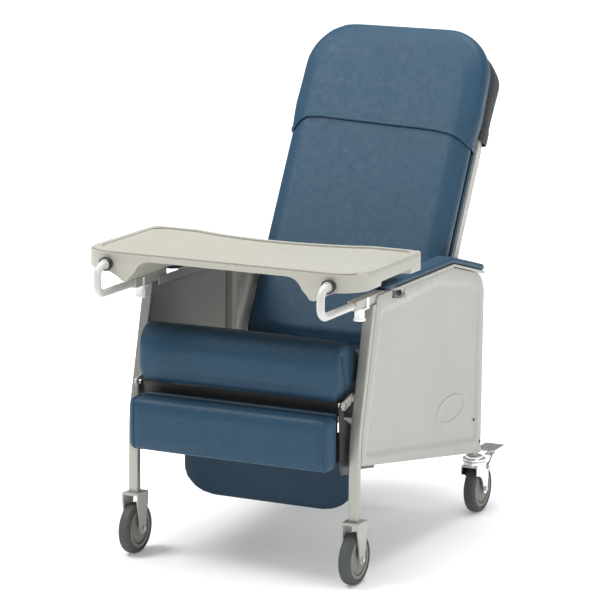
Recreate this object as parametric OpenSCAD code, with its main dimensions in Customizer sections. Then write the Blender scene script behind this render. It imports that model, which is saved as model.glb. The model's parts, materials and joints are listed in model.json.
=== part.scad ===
// Patient recliner chair on casters with overbed-style lap tray.
// Units are millimetres, +Z is up, the sitter faces -Y, +X is the sitter's left.
// Lengths along Y are written from the front face of the front legs and are
// moved by place() so that the whole chair is centred on the origin.

/* [Overall] */
// half of the overall width over the front legs
half_w = 311.4; // [305:0.1:320]
// distance from the leg front face to the middle of the chair
y_mid = 399.18; // [380:0.01:410]
// lean of the back from vertical at rest
back_lean = 28.5; // [24:0.5:32]

/* [Frame] */
// leg tube width across the chair
tube_w = 25.4; // [22:0.1:28]
// leg tube depth along the chair
tube_d = 18; // [16:0.5:20]
// wall thickness of the steel tubes
tube_t = 1.8; // [1.2:0.1:2.5]
// lean of the upper part of the front legs
leg_lean = 13.3; // [10:0.1:16]
// radius of the bend in the front legs
leg_bend_r = 430; // [300:10:500]
// height at which the two straight parts of the leg would meet
leg_kink_z = 350; // [330:5:370]
// underside of the tray socket, where the leg ends
leg_top_z = 670.4; // [660:0.1:680]

/* [Wheels] */
// radius of all four wheels
wheel_r = 63.5; // [60:0.5:68]
// width of the tyre
tyre_w = 32; // [28:1:34]
// radius of the wheel centre under the tyre
hub_r = 50; // [46:1:52]
// axle bolt radius
axle_r = 4; // [3:0.5:5]
// distance of the rear wheel behind its swivel axis
caster_trail = 27; // [20:1:32]

/* [Side panel] */
// panel thickness
panel_t = 5; // [4:0.5:6]
// depth of the sunk field in the outer face
panel_sink = 3.6; // [2:0.1:4]
// length of the plain oval boss
oval_len = 172; // [120:2:180]
// height of the plain oval boss
oval_h = 71; // [60:1:80]

/* [Armrest] */
// top of the armrest plate
arm_z = 690; // [685:1:694]
// thickness of the armrest plate
arm_plate_t = 7; // [5:0.5:8]
// thickness of the armrest pad
arm_pad_t = 18; // [14:1:19]
// slope of the rear part of the armrest
arm_drop = 14.5; // [10:0.5:16]

/* [Tray] */
// half width of the tray
tray_hw = 370; // [360:1:375]
// top of the raised rim
tray_top = 781; // [779:1:785]
// depth of the sunk top
tray_sink = 4; // [2:0.5:5]
// radius of the tray arms
arm_r = 9.5; // [9:0.1:9.5]
// radial clearance between running parts
run_gap = 0.06; // [0.02:0.01:0.09]

/* [Upholstery] */
// half width of the seat and leg pads
pad_hw = 266; // [250:1:267]
// half width of the back cushion
back_hw = 253; // [240:1:254]
// thickness of the back cushion
back_t = 72; // [60:1:72]
// thickness of the leg pad
calf_t = 62; // [50:1:62]

/* [Hidden] */
$fn = 64;
eps = 0.01;
leg_x0 = half_w - tube_w;
leg_cx = half_w - tube_w / 2;
front_axle_y = 11;
axle_z = wheel_r;
fork_w = 45;
fork_t = 4;
fork_top_z = 155.5;
fork_len = 53;
fork_y0 = -15.5;
caster_x = 297;
caster_y = 740;
panel_x0 = half_w - panel_t;
sock_w = 23;
sock_x = panel_x0 - 0.1 - sock_w / 2;
sock_z = leg_top_z + sock_w / 2;
sock_y0 = -10;
sock_y1 = 145;
rail_y0 = 256;
rail_w = 23.2;
rail_t = 1.6;
mouth_len = 46;
rail_z1 = arm_z - arm_plate_t - 0.05;
rail_z0 = rail_z1 - 25.4;
post_x0 = panel_x0 - 0.6 - 19;
post_x1 = panel_x0 - 0.6;
post_y0 = 724;
post_y1 = 749;
arm_y0 = 150;
arm_apex = 556;
arm_tip = 768;
arm_x0 = 258;
arm_x1 = 312.5;
plate_y0 = 200;
legrest_py = -12;
legrest_pz = 440;
foot_py = 6;
foot_pz = 290;
recline_py = 520;
recline_pz = 440;
back_y0 = 556.1;
back_z0 = 600;
back_bot = -150;
back_top = 722;
cover_bot = 446;
back_taper_z = 450;
back_taper = 4;
back_corner_r = 118;
cover_out = 9;
cover_t = 3;
foot_hw = 237;
foot_z0 = 131;
foot_z1 = 300;
tray_arm_z = 751;
tray_arm_x = sock_x;
arm_tilt = atan((sock_x - tray_arm_x) / (tray_arm_z - sock_z));
u_h = (tray_arm_z - sock_z) / cos(arm_tilt);
u_r = 27;
u_y = -179.5;

// ---------------------------------------------------------------- helpers
function arc(cx, cy, r, a0, a1, n = 12) =
    arc2(cx, cy, r, r, a0, a1, n);

function arc2(cx, cy, rx, ry, a0, a1, n = 12) =
    [for (i = [0:n]) let (a = a0 + (a1 - a0) * i / n) [cx + rx * cos(a), cy + ry * sin(a)]];

// mirror image of a list of points, in the opposite order
function flip(p) = [for (i = [len(p) - 1:-1:0]) [-p[i][0], p[i][1]]];

// profile drawn in Y and Z, pushed along X from x0 to x1
module slab_x(x0, x1) {
    translate([x0, 0, 0])
        rotate([90, 0, 90])
            linear_extrude(x1 - x0)
                children();
}

// profile drawn in X and Z, pushed along Y from y0 to y1
module slab_y(y0, y1) {
    translate([0, y1, 0])
        rotate([90, 0, 0])
            linear_extrude(y1 - y0)
                children();
}

// profile drawn in X and Y, pushed along Z from z0 to z1
module slab_z(z0, z1) {
    translate([0, 0, z0])
        linear_extrude(z1 - z0)
            children();
}

module rrect(x0, y0, x1, y1, r) {
    translate([x0 + r, y0])
        square([x1 - x0 - 2 * r, y1 - y0]);
    translate([x0, y0 + r])
        square([x1 - x0, y1 - y0 - 2 * r]);
    for (x = [x0 + r, x1 - r])
        for (y = [y0 + r, y1 - r])
            translate([x, y])
                circle(r);
}

// two round ends joined by straight sides, in 2D
module bar2(ax, ay, bx, by, r) {
    t = atan2(by - ay, bx - ax);
    polygon(concat(arc(ax, ay, r, t + 90, t + 270, 16), arc(bx, by, r, t - 90, t + 90, 16)));
}

module circle_at(x, y, r) {
    translate([x, y])
        circle(r);
}

// rod along X
module rod_x(x0, x1, y, z, r) {
    translate([x0, y, z])
        rotate([0, 90, 0])
            cylinder(r = r, h = x1 - x0);
}

// rod along Y
module rod_y(y0, y1, x, z, r) {
    translate([x, y0, z])
        rotate([-90, 0, 0])
            cylinder(r = r, h = y1 - y0);
}

// rod along Z
module rod_z(z0, z1, x, y, r) {
    translate([x, y, z0])
        cylinder(r = r, h = z1 - z0);
}

module side(s) {
    mirror([s < 0 ? 1 : 0, 0, 0])
        children();
}

module place() {
    translate([0, -y_mid, 0])
        children();
}

// the back is drawn upright: Y is the depth behind its front face, Z the
// distance up the back
module on_back() {
    translate([0, back_y0, back_z0])
        rotate([-back_lean, 0, 0])
            children();
}

// ---------------------------------------------------------------- frame
// side view of the front leg, grown inwards by g for the bore of the tube
function leg_side(g, z0, z1) =
    let (c = [leg_bend_r, leg_kink_z - leg_bend_r * tan(leg_lean / 2)])
    let (ro = leg_bend_r - g, ri = leg_bend_r - tube_d + g)
    let (ty = sin(leg_lean), tz = cos(leg_lean))
    let (fo = [c[0] - ro * tz, c[1] + ro * ty], fi = [c[0] - ri * tz, c[1] + ri * ty])
    concat(
        [[c[0] - ro, z0]],
        arc(c[0], c[1], ro, 180, 180 - leg_lean),
        [[fo[0] + (z1 - fo[1]) * tan(leg_lean), z1]],
        [[fi[0] + (z1 - fi[1]) * tan(leg_lean), z1]],
        arc(c[0], c[1], ri, 180 - leg_lean, 180),
        [[c[0] - ri, z0]]
    );

module front_leg(s) {
    color([0.78, 0.78, 0.75])
        place()
            side(s)
                difference() {
                    slab_x(leg_x0, half_w)
                        polygon(leg_side(0, fork_top_z, leg_top_z));
                    slab_x(leg_x0 + tube_t, half_w - tube_t)
                        polygon(leg_side(tube_t, fork_top_z - 1, leg_top_z + 1));
                }
}

// height of the lower edge of the side panel
function panel_low(y) = 289.6 - (y - 21) * 0.1744;

module rear_post(s) {
    color([0.78, 0.78, 0.75])
        place()
            side(s) {
                difference() {
                    slab_z(156, 588)
                        rrect(post_x0, post_y0, post_x1, post_y1, 3);
                    slab_z(168, 589)
                        rrect(post_x0 + tube_t, post_y0 + tube_t, post_x1 - tube_t, post_y1 - tube_t, 1.5);
                    rod_z(155, 169, caster_x, caster_y, 5.5 + run_gap);
                }
            }
}

module lower_rail(s) {
    a = 2.5;
    h = 25.4;
    y0 = tube_d + 0.6;
    y1 = post_y0 - 0.05;
    color([0.78, 0.78, 0.75])
        place()
            side(s)
                difference() {
                    slab_x(post_x0, post_x1)
                        polygon([[y0, panel_low(y0) + a], [y1, panel_low(y1) + a],
                            [y1, panel_low(y1) + a + h], [y0, panel_low(y0) + a + h]]);
                    slab_x(post_x0 + tube_t, post_x1 - tube_t)
                        polygon([[18, panel_low(18) + a + tube_t], [y1 + 1, panel_low(y1) + a + tube_t],
                            [y1 + 1, panel_low(y1) + a + h - tube_t], [18, panel_low(18) + a + h - tube_t]]);
                }
}

// square rail under the armrest and the flat bar that ties it to the tray socket
module arm_rail(s) {
    x0 = sock_x - rail_w / 2;
    x1 = sock_x + rail_w / 2;
    y0 = rail_y0 + mouth_len + 0.05;
    color([0.78, 0.78, 0.75])
        place()
            side(s) {
                difference() {
                    slab_x(x0, x1)
                        polygon([[y0, rail_z0], [548, rail_z0], [696, rail_z0 - 148 * tan(arm_drop)],
                            [702, rail_z1 - 150 * tan(arm_drop)], [551, rail_z1], [y0, rail_z1]]);
                    slab_x(x0 + rail_t, x1 - rail_t)
                        polygon([[y0 - 1, rail_z0 + rail_t], [540, rail_z0 + rail_t],
                            [540, rail_z1 - rail_t], [y0 - 1, rail_z1 - rail_t]]);
                }
                slab_x(x0 - 4, x0 - 0.05)
                    polygon([[100, rail_z0 + 2], [330, rail_z0 + 2], [330, rail_z1 - 2], [100, rail_z1 - 2]]);
            }
}

// open front end of the rail, a short tube welded on
module rail_mouth(s) {
    x0 = sock_x - rail_w / 2;
    x1 = sock_x + rail_w / 2;
    color([0.78, 0.78, 0.75])
        place()
            side(s)
                slab_y(rail_y0, rail_y0 + mouth_len)
                    difference() {
                        translate([x0, rail_z0])
                            square([rail_w, rail_z1 - rail_z0]);
                        translate([x0 + rail_t, rail_z0 + rail_t])
                            square([rail_w - 2 * rail_t, rail_z1 - rail_z0 - 2 * rail_t]);
                    }
}

module mid_strut(s) {
    zl = panel_low(508) + 2.5 + 25.4 + 0.05;
    color([0.78, 0.78, 0.75])
        place()
            side(s)
                difference() {
                    slab_z(zl, rail_z0 - 0.05)
                        rrect(post_x0, 508, post_x1, 532, 3);
                    slab_z(zl - 1, rail_z0 + 1)
                        rrect(post_x0 + tube_t, 508 + tube_t, post_x1 - tube_t, 532 - tube_t, 1.5);
                    rod_x(post_x0 - 1, post_x0 + 3, recline_py, recline_pz, 6);
                }
}

// flat plate that joins the arm rail and the rear post
module rear_gusset(s) {
    x1 = sock_x - rail_w / 2 - 0.05;
    color([0.78, 0.78, 0.75])
        place()
            side(s) {
                slab_x(x1 - 3, x1)
                    polygon([[640, 650], [696, 636], [744, 575], [744, 500], [728, 500], [700, 585], [640, 628]]);
                slab_x(x1 - eps, post_x0)
                    polygon([[728, 520], [744, 520], [744, 560], [728, 560]]);
            }
}

module cross_tube(y0, y1, z0, z1, hx) {
    difference() {
        slab_x(-hx, hx)
            rrect(y0, z0, y1, z1, 3);
        slab_x(-hx - 1, hx + 1)
            rrect(y0 + tube_t, z0 + tube_t, y1 - tube_t, z1 - tube_t, 1.2);
    }
}

// dark bar under the front edge of the seat, welded between the legs
module front_bar() {
    color([0.25, 0.25, 0.25])
        place()
            cross_tube(27, 45, 402, 436.4, leg_x0 - 0.05);
}

module seat_cross() {
    color([0.78, 0.78, 0.75])
        place()
            cross_tube(400, 425.4, 401, 426.4, 249.9);
}

module rear_cross() {
    color([0.78, 0.78, 0.75])
        place()
            cross_tube(724, 749, 200, 225.4, post_x0 - 0.05);
}

// side rails that carry the seat board, welded to the front bar and the cross tube
module seat_rail(s) {
    color([0.25, 0.25, 0.25])
        place()
            side(s) {
                difference() {
                    slab_x(250, 265)
                        rrect(45.05, 412, 470, 436.4, 3);
                    slab_x(250 + tube_t, 265 - tube_t)
                        rrect(45.05 + tube_t, 412 + tube_t, 470 - tube_t, 436.4 - tube_t, 1.2);
                }
                slab_x(265 - eps, post_x0 - 0.05)
                    rrect(440, 415, 465, 433, 3);
            }
}

// upright between the lower rail and the seat rail
module seat_post(s) {
    zl = panel_low(440) + 2.5 + 25.4 + 0.05;
    color([0.78, 0.78, 0.75])
        place()
            side(s)
                difference() {
                    slab_z(zl, 470)
                        rrect(post_x0, 440, post_x1, 465, 3);
                    slab_z(zl - 1, 468)
                        rrect(post_x0 + tube_t, 440 + tube_t, post_x1 - tube_t, 465 - tube_t, 1.2);
                }
}

// rear face of the front leg at height z
function leg_back(z) =
    let (r = leg_bend_r - tube_d, c = leg_kink_z - leg_bend_r * tan(leg_lean / 2))
    let (zt = c + r * sin(leg_lean), yt = leg_bend_r - r * cos(leg_lean))
    z > zt ? yt + (z - zt) * tan(leg_lean) : leg_bend_r - sqrt(r * r - (z - c) * (z - c));

// ---------------------------------------------------------------- side panel
function panel_outline() = concat(
    [[tube_d + 1.5, panel_low(21)], [tube_d + 1.5, 300]],
    [for (z = [340, 370, 404, 494, 610, 660]) [leg_back(z) + 1.5, z]],
    arc(110, 675.4, 14, 170, 90, 6),
    [[183, 689.4], [183, 669.5], [250, 658.5], [rail_y0 - 0.2, rail_z0 - 0.5], [rail_y0 - 0.2, rail_z1]],
    [[548, rail_z1], [684, rail_z1 - 136 * tan(arm_drop)]],
    arc(686, 580, 65, 68, 0, 12),
    [[750.5, 560], [749, panel_low(746)], [746.5, panel_low(746)]]
);

function field_outline() = concat(
    arc(57, 320, 15, 270, 170, 6),
    arc(139, 633, 17, 170, 90, 6),
    [[300, 655], [462, 661], [657, 624]],
    arc(664, 556, 56, 68, 0, 12),
    arc(699, 224, 21, 0, -95, 8)
);

module panel(s) {
    color([0.80, 0.80, 0.76])
        place()
            side(s)
                difference() {
                    union() {
                        difference() {
                            slab_x(panel_x0, half_w)
                                polygon(panel_outline());
                            slab_x(half_w - panel_sink, half_w + 1)
                                polygon(field_outline());
                        }
                        translate([0, 556, 318])
                            slab_x(half_w - panel_sink - eps, half_w - panel_sink + 1.2)
                                scale([1, oval_h / oval_len])
                                    circle(oval_len / 2);
                    }
                    translate([0, 556, 318])
                        slab_x(half_w - panel_sink + 0.3, half_w + 1)
                            scale([1, (oval_h - 12) / (oval_len - 12)])
                                circle((oval_len - 12) / 2);
                    for (q = screw_spots())
                        rod_x(panel_x0 - 1, half_w + 1, q[0], q[1], 2.6);
                }
}

// screws of one panel: Y, Z and how far the surface under the head is sunk
function screw_spots() = [[707, 258, panel_sink], [738, 195, 0]];

module panel_screws() {
    color([0.25, 0.25, 0.26])
        place()
            for (s = [1, -1])
                side(s)
                    for (q = screw_spots()) {
                        rod_x(panel_x0 - 0.4, half_w + 0.5 - q[2], q[0], q[1], 2.5);
                        rod_x(half_w + 0.05 - q[2], half_w + 1.7 - q[2], q[0], q[1], 4.2);
                    }
}

// short dark angle under the front lower corner of the panel
module panel_foot(s) {
    color([0.22, 0.22, 0.22])
        place()
            side(s)
                slab_x(post_x0, post_x1)
                    polygon([[20, panel_low(20) - 8], [104, panel_low(104) - 8],
                        [104, panel_low(104) + 2.4], [20, panel_low(20) + 2.4]]);
}

// ---------------------------------------------------------------- armrests
function arm_side(z0, z1, y0, y1) =
    let (k = tan(arm_drop))
    [[y0, z0], [arm_apex, z0], [y1, z0 - (y1 - arm_apex) * k],
        [y1, z1 - (y1 - arm_apex) * k], [arm_apex, z1], [y0, z1]];

module arm_plan(g, y0) {
    rrect(arm_x0 + g, y0 + g, arm_x1 - g, arm_tip - g, 22);
}

module arm_plate(s) {
    color([0.80, 0.80, 0.76])
        place()
            side(s)
                intersection() {
                    slab_x(arm_x0 - 5, arm_x1 + 5)
                        polygon(arm_side(arm_z - arm_plate_t, arm_z, plate_y0 - 5, arm_tip + 5));
                    slab_z(500, 800)
                        arm_plan(0, plate_y0);
                }
}

module arm_pad(s) {
    color([0.16, 0.26, 0.38])
        place()
            side(s)
                intersection() {
                    slab_x(arm_x0 - 5, arm_x1 + 5)
                        polygon(arm_side(arm_z + 0.1, arm_z + arm_pad_t, arm_y0 - 5, arm_tip + 5));
                    slab_z(500, 800)
                        arm_plan(1, arm_y0);
                }
}

// white square insert with a round bore in the front end of the arm rail
module socket_insert(s) {
    color([0.92, 0.92, 0.91])
        place()
            side(s)
                difference() {
                    union() {
                        slab_y(rail_y0 - 3, rail_y0 - 0.02)
                            rrect(sock_x - rail_w / 2 + 0.05, rail_z0, sock_x + rail_w / 2, rail_z1, 1.5);
                        slab_y(rail_y0 - 1, rail_y0 + 42)
                            rrect(sock_x - rail_w / 2 + 1.65, rail_z0 + 1.65, sock_x + rail_w / 2 - 1.65, rail_z1 - 1.65, 0.8);
                    }
                    rod_y(rail_y0 - 4, rail_y0 + 38, sock_x, (rail_z0 + rail_z1) / 2, 9.5);
                }
}

// ---------------------------------------------------------------- tray socket
module tray_socket(s) {
    color([0.80, 0.80, 0.77])
        place()
            side(s)
                difference() {
                    slab_y(sock_y0, sock_y1)
                        rrect(sock_x - sock_w / 2, sock_z - sock_w / 2 + 0.05, sock_x + sock_w / 2, sock_z + sock_w / 2, 2);
                    rod_y(sock_y0 - 1, sock_y1 + 1, sock_x, sock_z, arm_r + run_gap);
                    rod_z(sock_z - sock_w, sock_z - 5, sock_x, 33, 4 + run_gap);
                }
}

// white clamp shoe that straddles the socket
module clamp_shoe(s) {
    color([0.93, 0.93, 0.92])
        place()
            side(s)
                difference() {
                    union() {
                        slab_y(22, 58)
                            polygon([[sock_x - sock_w / 2 - 2.4, sock_z - sock_w / 2 - 4],
                                [sock_x + sock_w / 2 + 3.2, sock_z - sock_w / 2 - 4],
                                [sock_x + sock_w / 2 + 3.2, sock_z - sock_w / 2 - 0.05],
                                [sock_x - sock_w / 2 - 2.4, sock_z - sock_w / 2 - 0.05]]);
                        slab_y(44, 56)
                            translate([sock_x + sock_w / 2 + 0.1, sock_z - sock_w / 2 - 4])
                                square([3.1, 28]);
                        slab_y(24, 31)
                            translate([sock_x - sock_w / 2 - 2.4, sock_z - sock_w / 2 - 4])
                                square([2.3, 26]);
                    }
                    rod_z(sock_z - sock_w, sock_z, sock_x, 33, 4 + run_gap);
                }
}

// white thumb knob with its clamp screw
module clamp_knob(s) {
    z1 = sock_z - sock_w / 2 - 4.3;
    color([0.94, 0.94, 0.93])
        place()
            side(s)
                translate([sock_x, 33, 0]) {
                    rod_z(z1 - 26, z1 - 21, 0, 0, 14.4);
                    translate([0, 0, z1 - 21 - eps])
                        cylinder(r1 = 12.4, r2 = 10.6, h = 14);
                    rod_z(z1 - 7.05, z1, 0, 0, 12);
                    rod_z(z1 - 1, sock_z - arm_r - 0.4, 0, 0, 4);
                    for (i = [0:5])
                        rotate(i * 60)
                            slab_z(z1 - 21, z1 - 7)
                                translate([10.2, -1.4])
                                    square([2.6, 2.8]);
                }
}

// ---------------------------------------------------------------- tray
function tray_half() = concat(
    [[0, 763.5]],
    arc(182, 721.5, 42, 90, 20, 8),
    arc(250, 725, 14, 195, 325, 10),
    [[273, 724], [288, 731], [307, 735.2], [tray_hw - 3, 737], [tray_hw, 741]],
    arc(tray_hw - 13, tray_top - 12, 12, 0, 70, 5),
    arc(tray_hw - 17, tray_top - 4, 4, 90, 160, 4),
    [[tray_hw - 23, tray_top - tray_sink], [0, tray_top - tray_sink]]
);

module tray_plan(g) {
    difference() {
        intersection() {
            rrect(-tray_hw + g, -130 + g, tray_hw - g, 300, 70);
            rrect(-tray_hw + g, -300, tray_hw - g, 238 - g, 30);
        }
        translate([0, 194 - g + 678])
            circle(678, $fn = 240);
    }
}

module tray() {
    color([0.86, 0.85, 0.78])
        place()
            difference() {
                intersection() {
                    union() {
                        slab_y(-131, 240)
                            polygon(tray_half());
                        mirror([1, 0, 0])
                            slab_y(-131, 240)
                                polygon(tray_half());
                        slab_z(763.6, tray_top)
                            difference() {
                                tray_plan(5);
                                tray_plan(20);
                            }
                    }
                    slab_z(700, 790)
                        tray_plan(0);
                }
                for (s = [1, -1])
                    side(s) {
                        slab_x(307, tray_hw + 1)
                            polygon([[-10, 700], [-10, 748], [160, 750], [164, 700]]);
                        rod_y(-131, 60, tray_arm_x, tray_arm_z, arm_r + 0.05);
                        rod_y(-131, -120, tray_arm_x, tray_arm_z, 15.1);
                    }
            }
}

// round tube that leaves the tray, turns down and runs back into its socket
module tray_arm(s) {
    color([0.86, 0.86, 0.84])
        place()
            side(s) {
                rod_y(u_y + u_r, 58, tray_arm_x, tray_arm_z, arm_r);
                rod_y(u_y + u_r, 140, sock_x, sock_z, arm_r);
                translate([tray_arm_x, 0, tray_arm_z])
                    rotate([0, -arm_tilt, 0]) {
                        translate([0, u_y, -u_h + u_r])
                            cylinder(r = arm_r, h = u_h - 2 * u_r);
                        for (q = [[-u_r, 90], [-u_h + u_r, 180]])
                            translate([0, u_y + u_r, q[0]])
                                rotate([90, 0, 90])
                                    rotate([0, 0, q[1]])
                                        rotate_extrude(angle = 90, $fn = 96)
                                            translate([u_r, 0])
                                                circle(arm_r);
                    }
            }
}

// black rubber bushing where the tube enters the tray
module grommet(s) {
    color([0.06, 0.06, 0.07])
        place()
            side(s)
                translate([tray_arm_x, 0, tray_arm_z])
                    rotate([-90, 0, 0])
                        difference() {
                            union() {
                                translate([0, 0, -146])
                                    cylinder(r1 = 14, r2 = 17, h = 15.8);
                                translate([0, 0, -131])
                                    cylinder(r = 15, h = 10.9);
                            }
                            translate([0, 0, -150])
                                cylinder(r = arm_r + 0.05, h = 40);
                        }
}

// ---------------------------------------------------------------- seat
function seat_side() = concat(
    arc(-5, 465.2, 24, 262, 180, 8),
    arc2(21, 535, 50, 54, 180, 84, 10),
    [[60, 571], [110, 541], [180, 515], [478, 463], [470, 441.4]]
);

module seat_cushion() {
    color([0.15, 0.25, 0.36])
        place()
            slab_x(-pad_hw, pad_hw)
                polygon(seat_side());
}

module seat_board() {
    color([0.20, 0.20, 0.20])
        place()
            slab_x(-246, 246)
                polygon([[78, 426.5], [440, 426.5], [440, 439.5], [78, 439.5]]);
}

// ---------------------------------------------------------------- back
function back_half(g, z0) = concat(
    [[back_hw - g, z0], [back_hw - g, back_taper_z]],
    arc(back_hw - back_taper - back_corner_r, back_top - back_corner_r, back_corner_r - g, 0, 90, 20)
);

module back_plan(g, z0) {
    polygon(concat(back_half(g, z0), flip(back_half(g, z0))));
}

module back_cushion() {
    color([0.17, 0.28, 0.40])
        place()
            on_back()
                slab_y(0, back_t)
                    back_plan(3.5, back_bot);
}

module back_board() {
    color([0.17, 0.28, 0.40])
        place()
            on_back()
                slab_y(back_t + 0.1, back_t + 12)
                    back_plan(10, back_bot);
}

// front view of a side tube of the back frame, straight below, leaning in above
function frame_side(g) = [
    [250 - g, back_bot + g], [250 - g, 436], [228 - g, 575 - g],
    [202.6 + g, 575 - g], [224.6 + g, 436], [224.6 + g, back_bot + g]
];

// steel back frame: two side tubes, two cross tubes
module back_frame() {
    y0 = back_t + 12.1;
    y1 = y0 + 25.4;
    color([0.78, 0.78, 0.76])
        place()
            on_back() {
                for (s = [1, -1])
                    side(s)
                        difference() {
                            slab_y(y0, y1)
                                polygon(frame_side(0));
                            slab_y(y0 + tube_t, y1 - tube_t)
                                polygon(frame_side(tube_t));
                        }
                for (z = [-100, 260])
                    slab_x(-224.55, 224.55)
                        difference() {
                            rrect(y0 + 2, z, y1 - 2, z + 25.4, 3);
                            rrect(y0 + 2 + tube_t, z + tube_t, y1 - 2 - tube_t, z + 25.4 - tube_t, 1.5);
                        }
            }
}

// push handle: a bar across the back held off the frame by two stubs
module push_handle() {
    y0 = back_t + 12.1 + 25.5;
    color([0.18, 0.18, 0.19])
        place()
            on_back() {
                rod_x(-206, 206, y0 + 14, 622, 11);
                for (s = [1, -1])
                    side(s)
                        slab_x(205, 219)
                            polygon([[y0, 545], [y0 + 12, 545], [y0 + 22, 610.8], [y0 + 6, 610.8], [y0, 590]]);
            }
}

// blue front part of the slip cover: front, sides and top in one skin
module cover_front() {
    color([0.19, 0.31, 0.43])
        place()
            on_back()
                difference() {
                    slab_y(-cover_t, back_t + 12.05)
                        back_plan(-cover_out, cover_bot);
                    slab_y(-0.3, back_t + 14)
                        back_plan(cover_t - cover_out, cover_bot - 10);
                }
}

// dark rear part of the slip cover, drawn over the push handle
function cover_side(g) = concat(
    g > 0 ? [] : [[back_t + 12.5, cover_bot]],
    [[back_t + 56 - g, cover_bot]],
    [[back_t + 12 + 58 - g, 600]],
    arc(back_t + 12 + 34, 632, 26 - g, -15, 75, 8),
    [[back_t + 12.5, 690 - g]]
);

module cover_rear() {
    color([0.16, 0.16, 0.17])
        place()
            on_back()
                difference() {
                    intersection() {
                        slab_x(-back_hw, back_hw)
                            polygon(cover_side(0));
                        slab_y(back_t + 12.5, 200)
                            back_plan(0, cover_bot);
                    }
                    intersection() {
                        slab_x(-back_hw, back_hw)
                            polygon(concat([[back_t, cover_bot - 9], [back_t + 53.6, cover_bot - 9]],
                                cover_side(2.4), [[back_t, 687.6]]));
                        slab_y(back_t + 1, 200)
                            back_plan(2.4, cover_bot - 10);
                    }
                }
}

// a point of the back's side view, from its own depth and height
function of_back(y, z) = [
    back_y0 + y * cos(back_lean) + z * sin(back_lean),
    back_z0 - y * sin(back_lean) + z * cos(back_lean)
];

// side plate that carries the back on the recline pin
module back_bracket(s) {
    color([0.74, 0.74, 0.72])
        place()
            side(s)
                difference() {
                    union() {
                        slab_x(266, 271)
                            polygon(concat(
                                arc(recline_py, recline_pz, 16, 160, 325, 16),
                                [of_back(56, -118), of_back(106, -80), of_back(106, 36), of_back(52, 40)],
                                [of_back(40, 52), of_back(26, 52), of_back(14, 40), of_back(14, -112)]
                            ));
                        on_back()
                            for (z = [-70, 12])
                                slab_x(250.05, 268)
                                    rrect(back_t + 16, z, back_t + 32, z + 22, 4);
                    }
                    rod_x(260, 290, recline_py, recline_pz, 6 + run_gap);
                }
}

module recline_pins() {
    color([0.5, 0.5, 0.5])
        place()
            for (s = [1, -1])
                side(s) {
                    rod_x(262, post_x0 + 2, recline_py, recline_pz, 6);
                    rod_x(262, 265.5, recline_py, recline_pz, 9);
                }
}

// ---------------------------------------------------------------- leg rest
// light bracket on the inner face of the leg that carries the leg rest pin
module legrest_bracket(s) {
    color([0.80, 0.80, 0.77])
        place()
            side(s)
                difference() {
                    union() {
                        slab_x(276, 280.5)
                            bar2(legrest_py, legrest_pz, 32, 452, 11);
                        slab_x(280.4, leg_x0 - 0.05)
                            bar2(28, 451, 32, 452, 8);
                    }
                    rod_x(270, 284, legrest_py, legrest_pz, 5);
                }
}

module legrest_pins() {
    color([0.5, 0.5, 0.5])
        place()
            for (s = [1, -1])
                side(s) {
                    rod_x(267, 283, legrest_py, legrest_pz, 5);
                    rod_x(267, 269.6, legrest_py, legrest_pz, 8);
                    rod_x(280.6, 283, legrest_py, legrest_pz, 8);
                }
}

// dark steel side plate of the leg rest
module legrest_plate(s) {
    color([0.27, 0.27, 0.27])
        place()
            side(s)
                difference() {
                    union() {
                        slab_x(270, 274)
                            bar2(legrest_py, legrest_pz, -12, 392, 10);
                        slab_x(270, 274)
                            polygon([[-22, 396], [6, 402], [60, 372], [60, 258], [-10, 270], [-16, 285]]);
                        slab_x(252, 270 + eps)
                            rrect(-4.8, 296, 0, 372, 1);
                    }
                    rod_x(260, 290, legrest_py, legrest_pz, 5 + run_gap);
                }
}

module calf_pad() {
    y1 = -20;
    y0 = y1 - calf_t;
    color([0.14, 0.24, 0.35])
        place()
            slab_x(-pad_hw, pad_hw)
                rrect(y0, 284, y1, 418, 18);
}

// board behind the leg pad, with a lip above it
module calf_board() {
    color([0.15, 0.22, 0.31])
        place()
            slab_x(-255, 255)
                rrect(-19.8, 288, -5, 421, 3);
}

module foot_arm(s) {
    color([0.27, 0.27, 0.27])
        place()
            side(s)
                difference() {
                    slab_x(228, 232)
                        bar2(foot_py, foot_pz, 160, 282, 9);
                    rod_x(220, 240, foot_py, foot_pz, 4 + run_gap);
                    slab_x(220, 240)
                        translate([163, 260])
                            square([20, 40]);
                }
}

module foot_hinge_pins() {
    color([0.5, 0.5, 0.5])
        place()
            for (s = [1, -1])
                side(s) {
                    rod_x(225, 236, foot_py, foot_pz, 4);
                    rod_x(225, 227.6, foot_py, foot_pz, 7);
                    slab_x(233, 237)
                        polygon([[-4.95, 280], [foot_py, 280], [foot_py + 8, 286], [foot_py + 8, 294],
                            [foot_py, 300], [-4.95, 300]]);
                }
}

// foot plate outline in X and Z
function foot_half(g) = concat(
    arc2(foot_hw - g - 90, foot_z0 + g + 75, 90, 75, -90, 0, 14),
    arc(foot_hw - g - 16, foot_z1 - g - 16, 16, 0, 90, 6)
);

module foot_plan(g) {
    polygon(concat(foot_half(g), flip(foot_half(g))));
}

module foot_board() {
    color([0.2, 0.2, 0.21])
        place()
            slab_y(163.1, 173)
                foot_plan(4);
}

module foot_pad() {
    color([0.14, 0.24, 0.35])
        place()
            difference() {
                slab_y(137, 163)
                    foot_plan(0);
                for (s = [1, -1])
                    side(s)
                        slab_x(226, 234)
                            bar2(foot_py, foot_pz, 168, 282, 11);
            }
}

// ---------------------------------------------------------------- front wheels
module fork_plate2() {
    bar2(front_axle_y, axle_z, front_axle_y, axle_z + 8, 13);
    polygon([[fork_y0, fork_top_z - 22], [fork_y0, fork_top_z], [fork_y0 + fork_len, fork_top_z],
        [fork_y0 + fork_len, fork_top_z - 22], [front_axle_y + 13, axle_z], [front_axle_y - 13, axle_z]]);
}

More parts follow.
